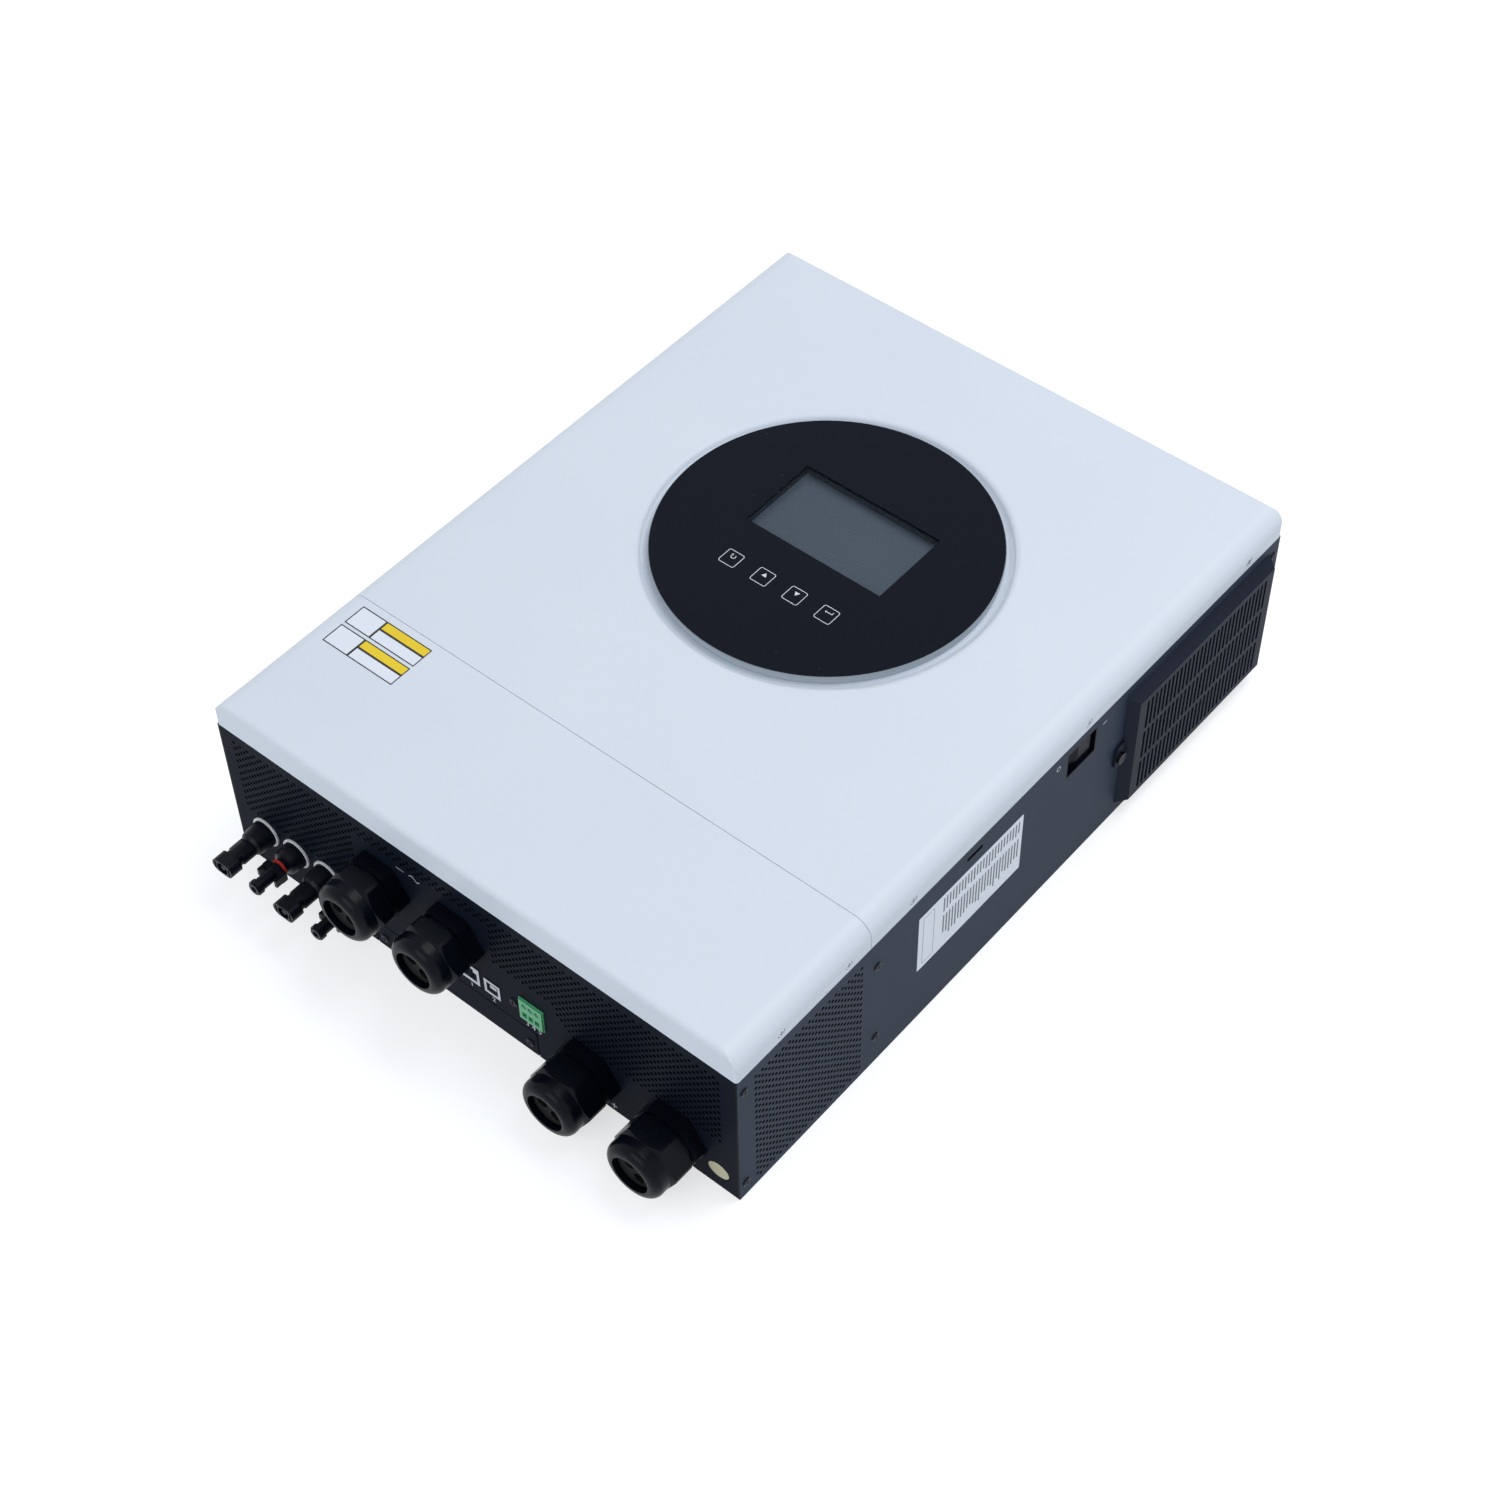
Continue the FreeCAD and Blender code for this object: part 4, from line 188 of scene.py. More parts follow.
def nickel_plated_steel():
    """Nickel on small pressed parts: bright neutral grey, with faint rolling lines."""
    return grained("nickel_plated_steel", "#C2C7CF", "#A8AEB8", 0.30, 0.8, 0.05, drift=6.0,
                   stretch=(0.15, 1, 1), metallic=1.0)


def blackened_steel():
    """Black-oxide screws: dark metal with an oily sheen."""
    return grained("blackened_steel", "#20242D", "#171A21", 0.42, 0.9, 0.08, drift=5.0, metallic=0.9)


def moulded_nylon():
    """Black glass-filled nylon of the cable glands: glossy skin that swirls where the melt flowed."""
    return grained("moulded_nylon", "#050911", "#070C16", 0.27, 1.1, 0.04, drift=9.0, ior=1.53,
                   specular_ior_level=0.09)


def moulded_polyphenylene():
    """Black connector plastic: close to the nylon, but duller and flatter."""
    return grained("moulded_polyphenylene", "#070B14", "#0A0F1A", 0.36, 0.9, 0.04, drift=8.0, ior=1.55,
                   specular_ior_level=0.12)


def textured_abs():
    """Charcoal-black ABS with an etched mould texture, which keeps the dust cover matt."""
    return grained("textured_abs", "#19202F", "#151B29", 0.54, 0.9, 0.16, drift=30.0, ior=1.52,
                   specular_ior_level=0.09)


def polished_abs():
    """Black ABS from a polished mould: the rocker and its housing shine."""
    return grained("polished_abs", "#060A13", "#080D18", 0.24, 2.0, 0.02, drift=15.0, ior=1.52,
                   specular_ior_level=0.03)


def moulded_rubber():
    """Black EPDM seals: dull, with a dusty bloom."""
    return grained("moulded_rubber", "#08090B", "#0F1013", 0.72, 0.7, 0.18, drift=4.0, ior=1.5,
                   specular_ior_level=0.15)


def red_silicone():
    """Translucent red silicone rings."""
    return grained("red_silicone", "#C6362C", "#B02C24", 0.40, 0.8, 0.05, drift=4.0,
                   subsurface_weight=0.15, subsurface_scale=0.002, ior=1.42)


def white_nylon():
    """Natural white nylon washers: waxy, slightly translucent."""
    return grained("white_nylon", "#E4E8EC", "#D8DDE2", 0.42, 0.8, 0.05, drift=8.0,
                   subsurface_weight=0.1, subsurface_scale=0.002, ior=1.53)


def green_polyamide():
    """Sea-green polyamide of plug-in terminals: satin, with flow lines."""
    return grained("green_polyamide", "#52AE7B", "#47A06F", 0.38, 0.9, 0.06, drift=6.0, ior=1.53)


def open_cell_foam():
    """Charcoal filter foam: round open cells, about 2 mm across, with painted shade deep in each cell."""
    material, tree, place = blank("open_cell_foam")
    cells = add(tree, "ShaderNodeTexVoronoi", {"Scale": per(2.0)}, {"Vector": place})
    # Painted shade: each cell darkens towards its middle, where it is deepest.
    pore_shade = add(tree, "ShaderNodeMapRange", {"From Max": 0.6}, {"Value": cells.outputs["Distance"]})
    mix = add(tree, "ShaderNodeMixRGB", {"Color1": tone("#050506"), "Color2": tone("#26282C")},
              {"Fac": pore_shade.outputs["Result"]})
    bump = add(tree, "ShaderNodeBump", {"Strength": 0.9, "Distance": 1.2 * MM},
               {"Height": cells.outputs["Distance"]})
    shade(tree, {"Roughness": 0.95, "IOR": 1.45},
          {"Base Color": mix.outputs["Color"], "Normal": bump.outputs["Normal"]})
    return material


def printed_glass():
    """Tempered glass, printed black behind: deep gloss, a few dust specks, and a pale ground edge whose
    paleness is partly a painted highlight, for the light that the edge catches.
    """
    material, tree, place = blank("printed_glass")
    flat = add(tree, "ShaderNodeMath", {"operation": "MAXIMUM"},
               {0: facing(tree, "Z", 0.6, 0.95), 1: within(tree, place, "display_glass", 90 * MM)})
    dust = add(tree, "ShaderNodeTexVoronoi", {"Scale": per(16.0), "Randomness": 1.0}, {"Vector": place})
    speck = add(tree, "ShaderNodeMapRange",
                {"From Min": 0.012, "From Max": 0.026, "To Min": 0.22, "To Max": 0.0},
                {"Value": dust.outputs["Distance"]})
    ink = add(tree, "ShaderNodeMixRGB", {"Color1": tone("#090F1C"), "Color2": tone("#8C929C")},
              {"Fac": speck.outputs["Result"]})
    # Off the flat top and outside 90 mm the edge is pale: ground glass, and partly a painted highlight.
    ground_edge_and_highlight = add(tree, "ShaderNodeMixRGB", {"Color1": tone("#98A3AD")},
              {"Fac": flat.outputs["Value"], "Color2": ink.outputs["Color"]})
    wipe = add(tree, "ShaderNodeTexNoise", {"Scale": per(45.0), "Detail": 4.0}, {"Vector": place})
    gloss = add(tree, "ShaderNodeMapRange", {"To Min": 0.10, "To Max": 0.22}, {"Value": wipe.outputs["Fac"]})
    shade(tree, {"IOR": 1.5, "Specular IOR Level": 0.08},
          {"Base Color": ground_edge_and_highlight.outputs["Color"], "Roughness": gloss.outputs["Result"]})
    return material


def clear_glass():
    """The unprinted window of the glass: a thin clear pane that only adds its own reflection."""
    material, tree, place = blank("clear_glass")
    smear = add(tree, "ShaderNodeTexNoise", {"Scale": per(30.0), "Detail": 3.0}, {"Vector": place})
    gloss = add(tree, "ShaderNodeMapRange", {"To Min": 0.05, "To Max": 0.12}, {"Value": smear.outputs["Fac"]})
    mirror = add(tree, "ShaderNodeBsdfGlossy", {}, {"Roughness": gloss.outputs["Result"]})
    through = add(tree, "ShaderNodeBsdfTransparent", {"Color": tone("#F2F6F8")})
    angle = add(tree, "ShaderNodeFresnel", {"IOR": 1.12})
    shine = add(tree, "ShaderNodeMath", {"operation": "MULTIPLY"},
                {0: angle.outputs["Fac"], 1: facing(tree, "Z", 0.6, 0.95)})
    pane = add(tree, "ShaderNodeMixShader", {}, {0: shine.outputs["Value"], 1: through.outputs["BSDF"],
                                                 2: mirror.outputs["BSDF"]})
    add(tree, "ShaderNodeOutputMaterial", {}, {"Surface": pane.outputs["Shader"]})
    return material


def liquid_crystal():
    """A reflective display that is switched off: slate grey film with a faint grid of 0.9 mm cells."""
    material, tree, place = blank("liquid_crystal")
    cells = add(tree, "ShaderNodeTexBrick",
                {"Scale": per(1.0), "offset": 0.0, "Color1": tone("#575E6B"), "Color2": tone("#545B68"),
                 "Mortar": tone("#4E5561"), "Mortar Size": 0.08, "Brick Width": 0.9, "Row Height": 0.9},
                {"Vector": place})
    slow = add(tree, "ShaderNodeTexNoise", {"Scale": per(90.0), "Detail": 1.0}, {"Vector": place})
    mix = add(tree, "ShaderNodeMixRGB", {"blend_type": "MULTIPLY", "Color2": tone("#E3E6EA")},
              {"Fac": slow.outputs["Fac"], "Color1": cells.outputs["Color"]})
    shade(tree, {"Roughness": 0.35, "IOR": 1.5}, {"Base Color": mix.outputs["Color"]})
    return material


def dark_polycarbonate():
    """The moulded frame behind the glass: dark grey and matt, so that the window's walls read as a
    step, and pale grey outside 90 mm about the glass's middle, where its side shows under the glass's edge."""
    return grained("dark_polycarbonate", "#3C434F", "#373E4A", 0.60, 0.9, 0.02, drift=20.0, spread=0.02,
                   ringed=("display_glass", 90 * MM, "#A3ADB6"), ior=1.58, specular_ior_level=0.15)


def solder_mask():
    """Green lacquer over copper: tracks of about 2 mm show as paler bands in it."""
    material, tree, place = blank("solder_mask")
    tracks = add(tree, "ShaderNodeTexBrick",
                 {"Scale": per(1.0), "Color1": tone("#15603A"), "Color2": tone("#125333"),
                  "Mortar": tone("#0B3A24"), "Mortar Size": 0.25, "Brick Width": 9.0, "Row Height": 2.0},
                 {"Vector": place})
    bump = add(tree, "ShaderNodeBump", {"Strength": 0.2, "Distance": 0.1 * MM},
               {"Height": tracks.outputs["Fac"]})
    shade(tree, {"Roughness": 0.33, "IOR": 1.5},
          {"Base Color": tracks.outputs["Color"], "Normal": bump.outputs["Normal"]})
    return material


def extruded_aluminium():
    """Bare extrusion: bright, with die lines that run the length of the fins."""
    return grained("extruded_aluminium", "#C4C7CB", "#B0B4B9", 0.34, 1.2, 0.10, drift=20.0,
                   stretch=(0.02, 1, 1), metallic=1.0)


def bare_copper():
    """Copper bus bars, with the brown bloom of handling."""
    return grained("bare_copper", "#C98664", "#A9654A", 0.32, 1.0, 0.05, drift=14.0, metallic=1.0)


def epoxy_moulding():
    """Black epoxy of transistors: matt, with a fine ground texture."""
    return grained("epoxy_moulding", "#17181A", "#101113", 0.62, 0.6, 0.12, drift=6.0, ior=1.55)


def printed_sleeve():
    """Shrunk sleeve of the capacitors: navy plastic film, glossy, with shrink wrinkles round it."""
    return grained("printed_sleeve", "#121A33", "#0E1428", 0.18, 4.0, 0.12, drift=12.0,
                   stretch=(1, 1, 0.3), ior=1.53)


def winding_tape():
    """Yellow polyester tape wound on the cores: 12 mm turns with a darker edge at each lap."""
    material, tree, place = blank("winding_tape")
    laps = add(tree, "ShaderNodeTexWave", {"Scale": per(12.0) / BANDS, "Distortion": 0.4,
                                           "bands_direction": "DIAGONAL"}, {"Vector": place})
    lap = add(tree, "ShaderNodeMapRange", {"From Max": 0.15}, {"Value": laps.outputs["Fac"]})
    mix = add(tree, "ShaderNodeMixRGB", {"Color1": tone("#8F6B12"), "Color2": tone("#D9AE34")},
              {"Fac": lap.outputs["Result"]})
    shade(tree, {"Roughness": 0.28, "IOR": 1.6}, {"Base Color": mix.outputs["Color"]})
    return material


def label_vinyl(name, colour, second):
    """Vinyl label stock: flat satin film with a slight waviness from being stuck down."""
    return grained(name, colour, second, 0.36, 5.0, 0.04, drift=35.0, ior=1.5)


def screen_ink(name, colour, second):
    """Screen-printed ink: opaque and matt, thinner in places where the mesh let less through."""
    return grained(name, colour, second, 0.55, 0.7, 0.05, drift=2.5, ior=1.5)


# ---------------------------------------------------------------------------------------------
# Finish of every CAD piece
# ---------------------------------------------------------------------------------------------

GLANDS = ("mains_input", "mains_output", "battery_positive", "battery_negative")


def dress(material, *names):
    """Gives CAD nodes a finish through their material slots."""
    for name in names:
        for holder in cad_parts[name].material_slots:
            holder.material = material


def dress_all():
    """One finish for each real material of the unit."""
    dress(white_powder_coat(), "upper_front_cover", "lower_front_cover")
    # The side panels get painted shade on the walls of their holes.
    dress(charcoal_powder_coat("charcoal_powder_coat_with_hole_shade", "X"), "right_side_panel", "left_side_panel")
    dress(charcoal_powder_coat(), "top_end_panel", "back_plate")
    # Painted shade: the connector panel gets a darker copy of the chassis paint.
    dress(shaded_charcoal_powder_coat(), "connector_panel", "blanking_plate")
    dress(zinc_plated_steel(), "divider_plate", "corner_brackets", "cover_rails", "terminal_fasteners",
          "board_legs", "touch_key_springs")
    dress(nickel_plated_steel(), "cover_screws", "network_jack", "usb_port", "relay_plug_screws")
    dress(blackened_steel(), "case_screws", "dust_cover_screw")
    dress(moulded_nylon(), "gland_bodies", "gland_lock_nuts", *[name + "_gland_nut" for name in GLANDS])
    dress(moulded_rubber(), "gland_seals")
    dress(moulded_polyphenylene(), "pv_wide_connectors", "pv_slim_connectors", "pv_lock_nuts",
          "battery_blocks", "power_relays", "lower_fan_frame", "upper_fan_frame", "lower_fan_rotor",
          "upper_fan_rotor")
    dress(red_silicone(), "pv_red_rings")
    dress(white_nylon(), "pv_washers")
    dress(green_polyamide(), "relay_plug", "relay_header", "mains_terminal_block")
    dress(textured_abs(), "dust_cover")
    dress(polished_abs(), "power_rocker", "switch_housing")
    dress(open_cell_foam(), "filter_foam")
    dress(printed_glass(), "display_glass")
    dress(clear_glass(), "display_window")
    dress(liquid_crystal(), "lcd_module")
    dress(dark_polycarbonate(), "display_carrier")
    dress(solder_mask(), "display_board", "power_board", "control_board", "port_board")
    dress(extruded_aluminium(), "lower_heat_sink", "upper_heat_sink")
    dress(bare_copper(), "battery_bars")
    dress(epoxy_moulding(), "power_transistors")
    dress(printed_sleeve(), "bus_capacitors")
    dress(winding_tape(), "transformers", "toroid_chokes")


# ---------------------------------------------------------------------------------------------
# Printed marks and labels
# ---------------------------------------------------------------------------------------------

INK = 0.02 * MM
VINYL = 0.10 * MM
DIGIT_SHARE = 0.72  # height of a digit as a share of the font's size


def face(origin, across, up):
    """A flat place to print on: its own x runs across, its y up, and its z out of the surface."""
    across, up = Vector(across), Vector(up)
    out = across.cross(up)
    turn = Matrix((across, up, out)).transposed().to_4x4()
    return Matrix.Translation(origin) @ turn


def arc(x, y, radius, start, end, steps=24):
    """Points of an arc, angles in degrees."""
    angles = [math.radians(start + (end - start) * i / steps) for i in range(steps + 1)]
    return [(x + radius * math.cos(a), y + radius * math.sin(a)) for a in angles]


def circle(x, y, radius):
    """48 points of a whole circle, the first one not repeated."""
    return arc(x, y, radius, 0, 352.5, 47)


def box(x, y, width, height, radius=0.0):
    """A rectangle about a point, with rounded corners where radius is given."""
    dx, dy = width / 2 - radius, height / 2 - radius
    if radius == 0:
        return [(x - dx, y - dy), (x + dx, y - dy), (x + dx, y + dy), (x - dx, y + dy)]
    points = []
    for i, (sx, sy) in enumerate(((1, 1), (-1, 1), (-1, -1), (1, -1))):
        points += arc(x + sx * dx, y + sy * dy, radius, 90 * i, 90 * (i + 1), 5)
    return points


def border(x, y, width, height, line, radius=0.0):
    """A rectangular line: two outlines, one inside the other."""
    inner = max(radius - line, 0.0)
    return [box(x, y, width, height, radius), box(x, y, width - 2 * line, height - 2 * line, inner)]


def ring(x, y, radius, line):
    """A round line: two circles."""
    return [circle(x, y, radius), circle(x, y, radius - line)]


def bow(x, y, radius, line, start, end):
    """A curved stroke of even width."""
    return arc(x, y, radius, start, end) + arc(x, y, radius - line, end, start)


def wave(x, y, width, height, line, steps=24):
    """One full wave about a point: its upper edge from left to right, and its lower edge back."""
    points = []
    for side in (1, -1):
        for i in range(steps + 1):
            s = i / steps if side == 1 else 1 - i / steps
            up = y + height * math.sin(2 * math.pi * s) + side * line / 2
            points.append((x + (s - 0.5) * width, up))
    return points


def press(name, outlines, on, thickness, material, body="chassis", lift=0.0):
    """Closed outlines, in metres on a face, made into one thin solid piece that rides on a body."""
    curve = bpy.data.curves.new(name, "CURVE")
    curve.dimensions = "2D"
    curve.fill_mode = "BOTH"
    curve.extrude = thickness / 2
    for outline in outlines:
        line = curve.splines.new("POLY")
        line.points.add(len(outline) - 1)
        for point, (x, y) in zip(line.points, outline):
            point.co = (x, y, 0, 1)
        line.use_cyclic_u = True
    return settle(name, curve, on, thickness, material, body, lift)


def settle(name, curve, on, thickness, material, body, lift):
    """Turns a flat curve into a mesh lying on its face, and lets it ride on a body."""
    source = bpy.data.objects.new(name + "_outline", curve)
    bpy.context.scene.collection.objects.link(source)
    bpy.context.view_layer.update()
    mesh = bpy.data.meshes.new_from_object(source.evaluated_get(bpy.context.evaluated_depsgraph_get()))
    bpy.data.objects.remove(source)
    mesh.transform(on @ Matrix.Translation((0, 0, lift + thickness / 2)))
    mesh.name = name
    mesh.materials.clear()
    mesh.materials.append(material)
    piece = bpy.data.objects.new(name, mesh)
    bpy.context.scene.collection.objects.link(piece)
    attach(piece, body)
    return piece


def number(name, digits, x, y, height, on, material):
    """Plain digits printed on a face, centred on a point."""
    text = bpy.data.curves.new(name, "FONT")
    text.body = digits
    text.size = height / DIGIT_SHARE
    text.align_x, text.align_y = "CENTER", "CENTER"
    text.extrude = INK / 2
    return settle(name, text, on @ Matrix.Translation((x, y, 0)), INK, material, "chassis", 0.0)


def key_signs(x, y):
    """Outlines of the signs on the four touch keys, about a point: turn back, up, down and enter."""
    stroke, tip, foot = 0.5 * MM, 1.872 * MM, 1.3 * MM
    barb = [(x - 2.4 * MM, y + 0.9 * MM), (x - 0.6 * MM, y + 0.7 * MM), (x - 1.3 * MM, y + 2.3 * MM)]
    back = [bow(x, y, tip, stroke, 130, 410), barb]
    up = [[(x - tip, y - foot), (x + tip, y - foot), (x, y + tip)]]
    down = [[(x - tip, y + foot), (x, y - tip), (x + tip, y + foot)]]
    reach, head, rise = 2.9 * MM, 1.0 * MM, 1.9 * MM
    enter = [[(x - reach, y), (x - reach + head, y + head), (x - reach + head, y + stroke / 2),
              (x + reach - stroke, y + stroke / 2), (x + reach - stroke, y + rise), (x + reach, y + rise),
              (x + reach, y - stroke / 2), (x - reach + head, y - stroke / 2),
              (x - reach + head, y - head)]]
    return back, up, down, enter


def key_marks(ink):
    """Four touch keys on the glass: a rounded frame each, with its sign above the middle."""
    glass = face((0, 0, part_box("display_glass")[1].z), (1, 0, 0), (0, 1, 0))
    low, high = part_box("touch_key_springs")
    spring = high.y - low.y
    pitch = (high.x - low.x - spring) / 3
    row = (low.y + high.y) / 2
    width, height, line, corner = 12.7 * MM, 13.0 * MM, 0.45 * MM, 1.6 * MM
    sign_up = 1.9 * MM
    for i in range(4):
        x = low.x + spring / 2 + i * pitch
        press(f"key_{i + 1}_frame", border(x, row, width, height, line, corner), glass, INK, ink)
        press(f"key_{i + 1}_sign", key_signs(x, row + sign_up)[i], glass, INK, ink)


def cover_labels(stock, yellow, ink):
    """Two blank two-colour labels at the upper left of the lower cover, one above the other. Each has
    a framed box on its left, and a yellow band over a plain field on its right."""
    low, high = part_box("lower_front_cover")
    front = face((low.x, high.y, high.z), (1, 0, 0), (0, 1, 0))
    left, width, height = 17.0 * MM, 60.3 * MM, 17.3 * MM
    box_width, band, line = 21.5 * MM, 7.7 * MM, 0.8 * MM
    right, field = width - box_width, height - band
    right_x = left + box_width + right / 2
    for name, top in (("upper_label", -5.6 * MM), ("lower_label", -25.2 * MM)):
        y = top - height / 2
        press(name, [box(left + width / 2, y, width, height)], front, VINYL, stock)
        press(name + "_band", [box(right_x, top - band / 2, right, band)], front, INK, yellow, lift=VINYL)
        frames = {"left": (left + box_width / 2, y, box_width, height),
                  "band": (right_x, top - band / 2, right, band),
                  "right": (right_x, top - band - field / 2, right, field)}
        for part, place in frames.items():
            press(f"{name}_{part}_frame", border(*place, line), front, INK, ink, lift=VINYL + INK)


def side_label(stock, grey):
    """A white label on the right side: ruled rows of plain bars, read with the unit on its wall."""
    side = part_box("right_side_panel")[1].x
    label = face((side, 0, 0), (0, 0, -1), (0, 1, 0))
    bottom, top = -108.9 * MM, -4.5 * MM
    back, front = 50.0 * MM, 102.7 * MM
    centre, width, height, corner = -(back + front) / 2, front - back, top - bottom, 1.0 * MM
    press("side_label", [box(centre, (bottom + top) / 2, width, height, corner)], label, VINYL, stock)
    chance = random.Random(7)
    rows, margin, bar, foot = 26, 4.0 * MM, 1.4 * MM, 18.0 * MM
    column = width - 2 * margin
    step = (height - 2 * margin - foot) / rows
    space = 0.08
    bars = []
    for i in range(rows):
        y = top - margin - i * step
        start = -front + margin
        for share in (0.30, 0.52):
            length = column * share * chance.uniform(0.70, 1.0)
            bars.append(box(start + length / 2, y, length, bar))
            start += column * (share + space)
    press("side_label_rows", bars, label, INK, grey, lift=VINYL)
    frame_up, frame_height, line = 10.0 * MM, 11.0 * MM, 0.4 * MM
    blocks = border(centre, bottom + frame_up, column, frame_height, line)
    press("side_label_frame", blocks, label, INK, grey, lift=VINYL)


def mains_marks(panel, ink):
    """A wave between the mains glands, with a short line before it."""
    x = (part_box("mains_input_gland_nut")[1].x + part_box("mains_output_gland_nut")[0].x) / 2
    up = 101.5 * MM
    press("mains_sign", [wave(x, up, 9.0 * MM, 1.5 * MM, 0.6 * MM)], panel, INK, ink)
    press("mains_line", [box(x - 12 * MM, up, 7.0 * MM, 0.4 * MM)], panel, INK, ink)


def battery_marks(panel, ink):
    """Plus and minus beside the battery glands. Three boxes that only touch make the plus."""
    arm, stroke, up = 5.0 * MM, 1.0 * MM, 5.2 * MM
    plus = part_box("battery_positive_gland_nut")[1].x - 7 * MM
    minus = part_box("battery_negative_gland_nut")[0].x + 4 * MM
    half, shift = (arm - stroke) / 2, (arm + stroke) / 4
    cross = [box(plus, up, arm, stroke), box(plus, up + shift, stroke, half),
             box(plus, up - shift, stroke, half)]
    press("battery_plus", cross, panel, INK, ink)
    press("battery_minus", [box(minus, up, arm, stroke)], panel, INK, ink)


def port_numbers(panel, ink):
    """Numbers under the ports, and under each way of the relay terminal."""
    below, tall = 4.6 * MM, 4.4 * MM
    for name, digits in (("network_jack", "1"), ("usb_port", "2")):
        number(name + "_number", digits, middle(name).x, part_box(name)[0].z - below, tall, panel, ink)
    relay, up = middle("relay_plug"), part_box("relay_header")[0].z - below
    screws_low, screws_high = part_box("relay_plug_screws")
    pitch = (screws_high.x - screws_low.x - (screws_high.z - screws_low.z)) / 2
    for i in range(3):
        number(f"relay_number_{i + 1}", str(i + 3), relay.x + (i - 1) * pitch, up, tall, panel, ink)


def paper_seal(panel, cream):
    """A plain oval paper seal at the panel's right end."""
    right, up, width, height = 194.9 * MM, 16.9 * MM, 15.8 * MM, 12.8 * MM
    oval = [(right + x * width / height, up + y) for x, y in circle(0, 0, height / 2)]
    press("paper_seal", [oval], panel, VINYL, cream)


def connector_marks(ink, cream):
    """Everything printed or stuck on the connector panel."""
    panel = face((0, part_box("connector_panel")[0].y, 0), (1, 0, 0), (0, 0, 1))
    mains_marks(panel, ink)
    battery_marks(panel, ink)
    port_numbers(panel, ink)
    paper_seal(panel, cream)


def switch_marks(ink):
    """The round and straight signs for off and on, beside the rocker."""
    low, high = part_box("switch_housing")
    side = face((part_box("right_side_panel")[1].x, 0, 0), (0, 0, -1), (0, 1, 0))
    up = -(low.z + high.z) / 2 - 8 * MM
    press("off_sign", ring(up, low.y - 7 * MM, 2.0 * MM, 0.5 * MM), side, INK, ink)
    press("on_sign", [box(up, high.y + 6 * MM, 0.6 * MM, 4.2 * MM)], side, INK, ink)


def print_marks():
    """All printing and labels, each in its own ink or film."""
    white = screen_ink("white_screen_ink", "#DDE1E8", "#C9CED7")
    black = screen_ink("black_screen_ink", "#08090C", "#0D0F13")
    grey = screen_ink("grey_label_ink", "#5C616B", "#676C77")
    stock = label_vinyl("white_label_vinyl", "#DEE5F1", "#D7DFEC")
    yellow = label_vinyl("yellow_label_vinyl", "#E7CC1F", "#DDC11B")
    cream = label_vinyl("cream_paper", "#C9C6A2", "#BDBA95")
    key_marks(white)
    cover_labels(stock, yellow, black)
    side_label(stock, grey)
    connector_marks(white, cream)
    switch_marks(white)


# ---------------------------------------------------------------------------------------------
# Floor, light and camera
# ---------------------------------------------------------------------------------------------

def on_view(tree):
    """1 for what is seen straight, in a reflection or through glass, and 0 for what only gives light."""
    path = add(tree, "ShaderNodeLightPath")
    seen = add(tree, "ShaderNodeMath", {"operation": "MAXIMUM"},
               {0: path.outputs["Is Camera Ray"], 1: path.outputs["Is Glossy Ray"]})
    shown = add(tree, "ShaderNodeMath", {"operation": "MAXIMUM"},
                {0: seen.outputs["Value"], 1: path.outputs["Is Transmission Ray"]})
    return shown.outputs["Value"]


def floor():
    """A wide pale floor under the unit. It looks white, and keeps the shadow that falls on it.
    Its glow rises from 0.8 m to 3 m out, so that the floor meets the studio without a line."""
    radius = 9.0
    edge = circle(0, 0, radius)
    mesh = bpy.data.meshes.new("floor")
    mesh.from_pydata([(x, y, cad_low.z) for x, y in edge], [], [list(range(len(edge)))])
    material, tree, place = blank("pale_floor")
    shown = on_view(tree)
    matt = add(tree, "ShaderNodeBsdfDiffuse", {"Color": tone("#C6CACF")})
    away = add(tree, "ShaderNodeVectorMath", {"operation": "LENGTH"}, {0: place})
    fade = add(tree, "ShaderNodeMapRange",
               {"From Min": 0.8, "From Max": 3.0, "To Min": 0.62, "To Max": 1.0},
               {"Value": away.outputs["Value"]})
    glow = add(tree, "ShaderNodeEmission", {"Color": tone("#FFFFFF")}, {"Strength": fade.outputs["Result"]})
    bright = add(tree, "ShaderNodeAddShader", {}, {0: matt.outputs["BSDF"], 1: glow.outputs["Emission"]})
    pick = add(tree, "ShaderNodeMixShader", {}, {0: shown, 1: matt.outputs["BSDF"],
                                                 2: bright.outputs["Shader"]})
    add(tree, "ShaderNodeOutputMaterial", {}, {"Surface": pick.outputs["Shader"]})
    mesh.materials.append(material)
    plane = bpy.data.objects.new("floor", mesh)
    bpy.context.scene.collection.objects.link(plane)


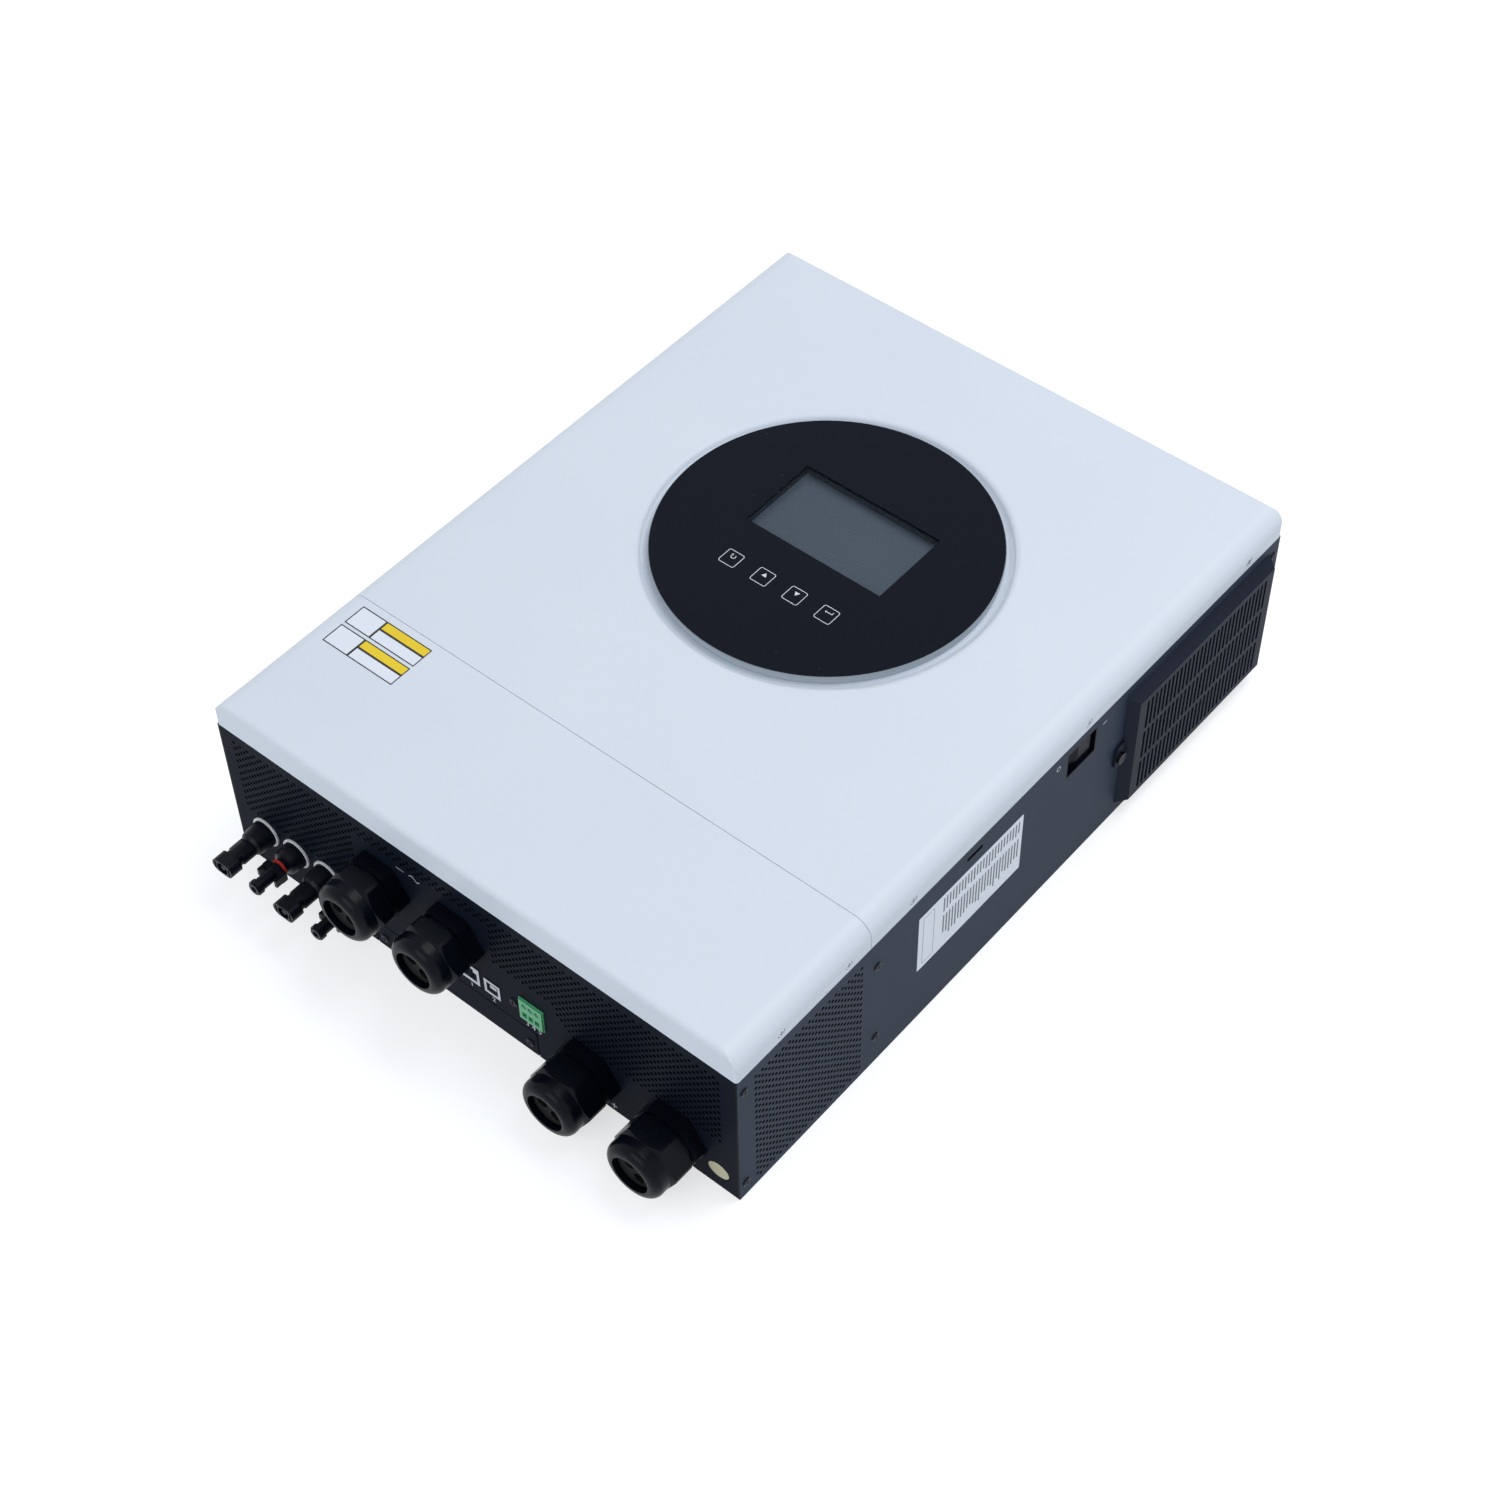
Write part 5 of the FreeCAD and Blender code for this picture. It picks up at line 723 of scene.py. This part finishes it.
def studio():
    """A plain studio: white at the level of the floor, greyer overhead."""
    world = bpy.data.worlds.new("studio")
    bpy.context.scene.world = world
    world.use_nodes = True
    tree = world.node_tree
    tree.nodes.clear()
    place = add(tree, "ShaderNodeTexCoord").outputs["Generated"]
    height = add(tree, "ShaderNodeSeparateXYZ", {}, {"Vector": place})
    rise = add(tree, "ShaderNodeMapRange", {"From Min": 0.30, "From Max": 0.75},
               {"Value": height.outputs["Z"]})
    mix = add(tree, "ShaderNodeMixRGB", {"Color1": tone("#FFFFFF"), "Color2": tone("#8A8D92")},
              {"Fac": rise.outputs["Result"]})
    seen = add(tree, "ShaderNodeMixRGB", {"Color2": tone("#FFFFFF")},
               {"Fac": on_view(tree), "Color1": mix.outputs["Color"]})
    back = add(tree, "ShaderNodeBackground", {"Strength": 1.0}, {"Color": seen.outputs["Color"]})
    add(tree, "ShaderNodeOutputWorld", {}, {"Surface": back.outputs["Background"]})


def lamp(name, place, aim, width, power):
    """A square soft box at a place, turned to an aim, both in metres."""
    light = bpy.data.lights.new(name, "AREA")
    light.shape = "SQUARE"
    light.size = width
    light.energy = power
    holder = bpy.data.objects.new(name, light)
    holder.location = place
    holder.rotation_euler = (Vector(aim) - Vector(place)).to_track_quat("-Z", "Y").to_euler()
    bpy.context.scene.collection.objects.link(holder)


def lights():
    """One large key overhead, behind the unit, and a weaker fill from the front."""
    lamp("key", (0.45, 0.9, 2.3), (0, 0, 0), 1.5, 30)
    lamp("fill", (0.1, -2.1, 1.6), (0, 0, 0), 1.6, 16)


def camera():
    """A long lens, high at the front right corner."""
    eye = Vector((0.78956, -0.93071, 1.44457))
    right = Vector((0.76740, 0.64103, -0.01316))
    ahead = Vector((-0.42167, 0.48913, -0.76351))
    lens = bpy.data.cameras.new("camera")
    lens.sensor_width = 36.0
    lens.lens = 67.584
    lens.clip_start = 0.05
    lens.clip_end = 50.0
    up = right.cross(ahead)
    holder = bpy.data.objects.new("camera", lens)
    holder.matrix_world = Matrix.Translation(eye) @ Matrix((right, up, -ahead)).transposed().to_4x4()
    bpy.context.scene.collection.objects.link(holder)
    bpy.context.scene.camera = holder


camera()
dress_all()
print_marks()
floor()
studio()
lights()
bpy.context.scene.view_settings.view_transform = "Standard"
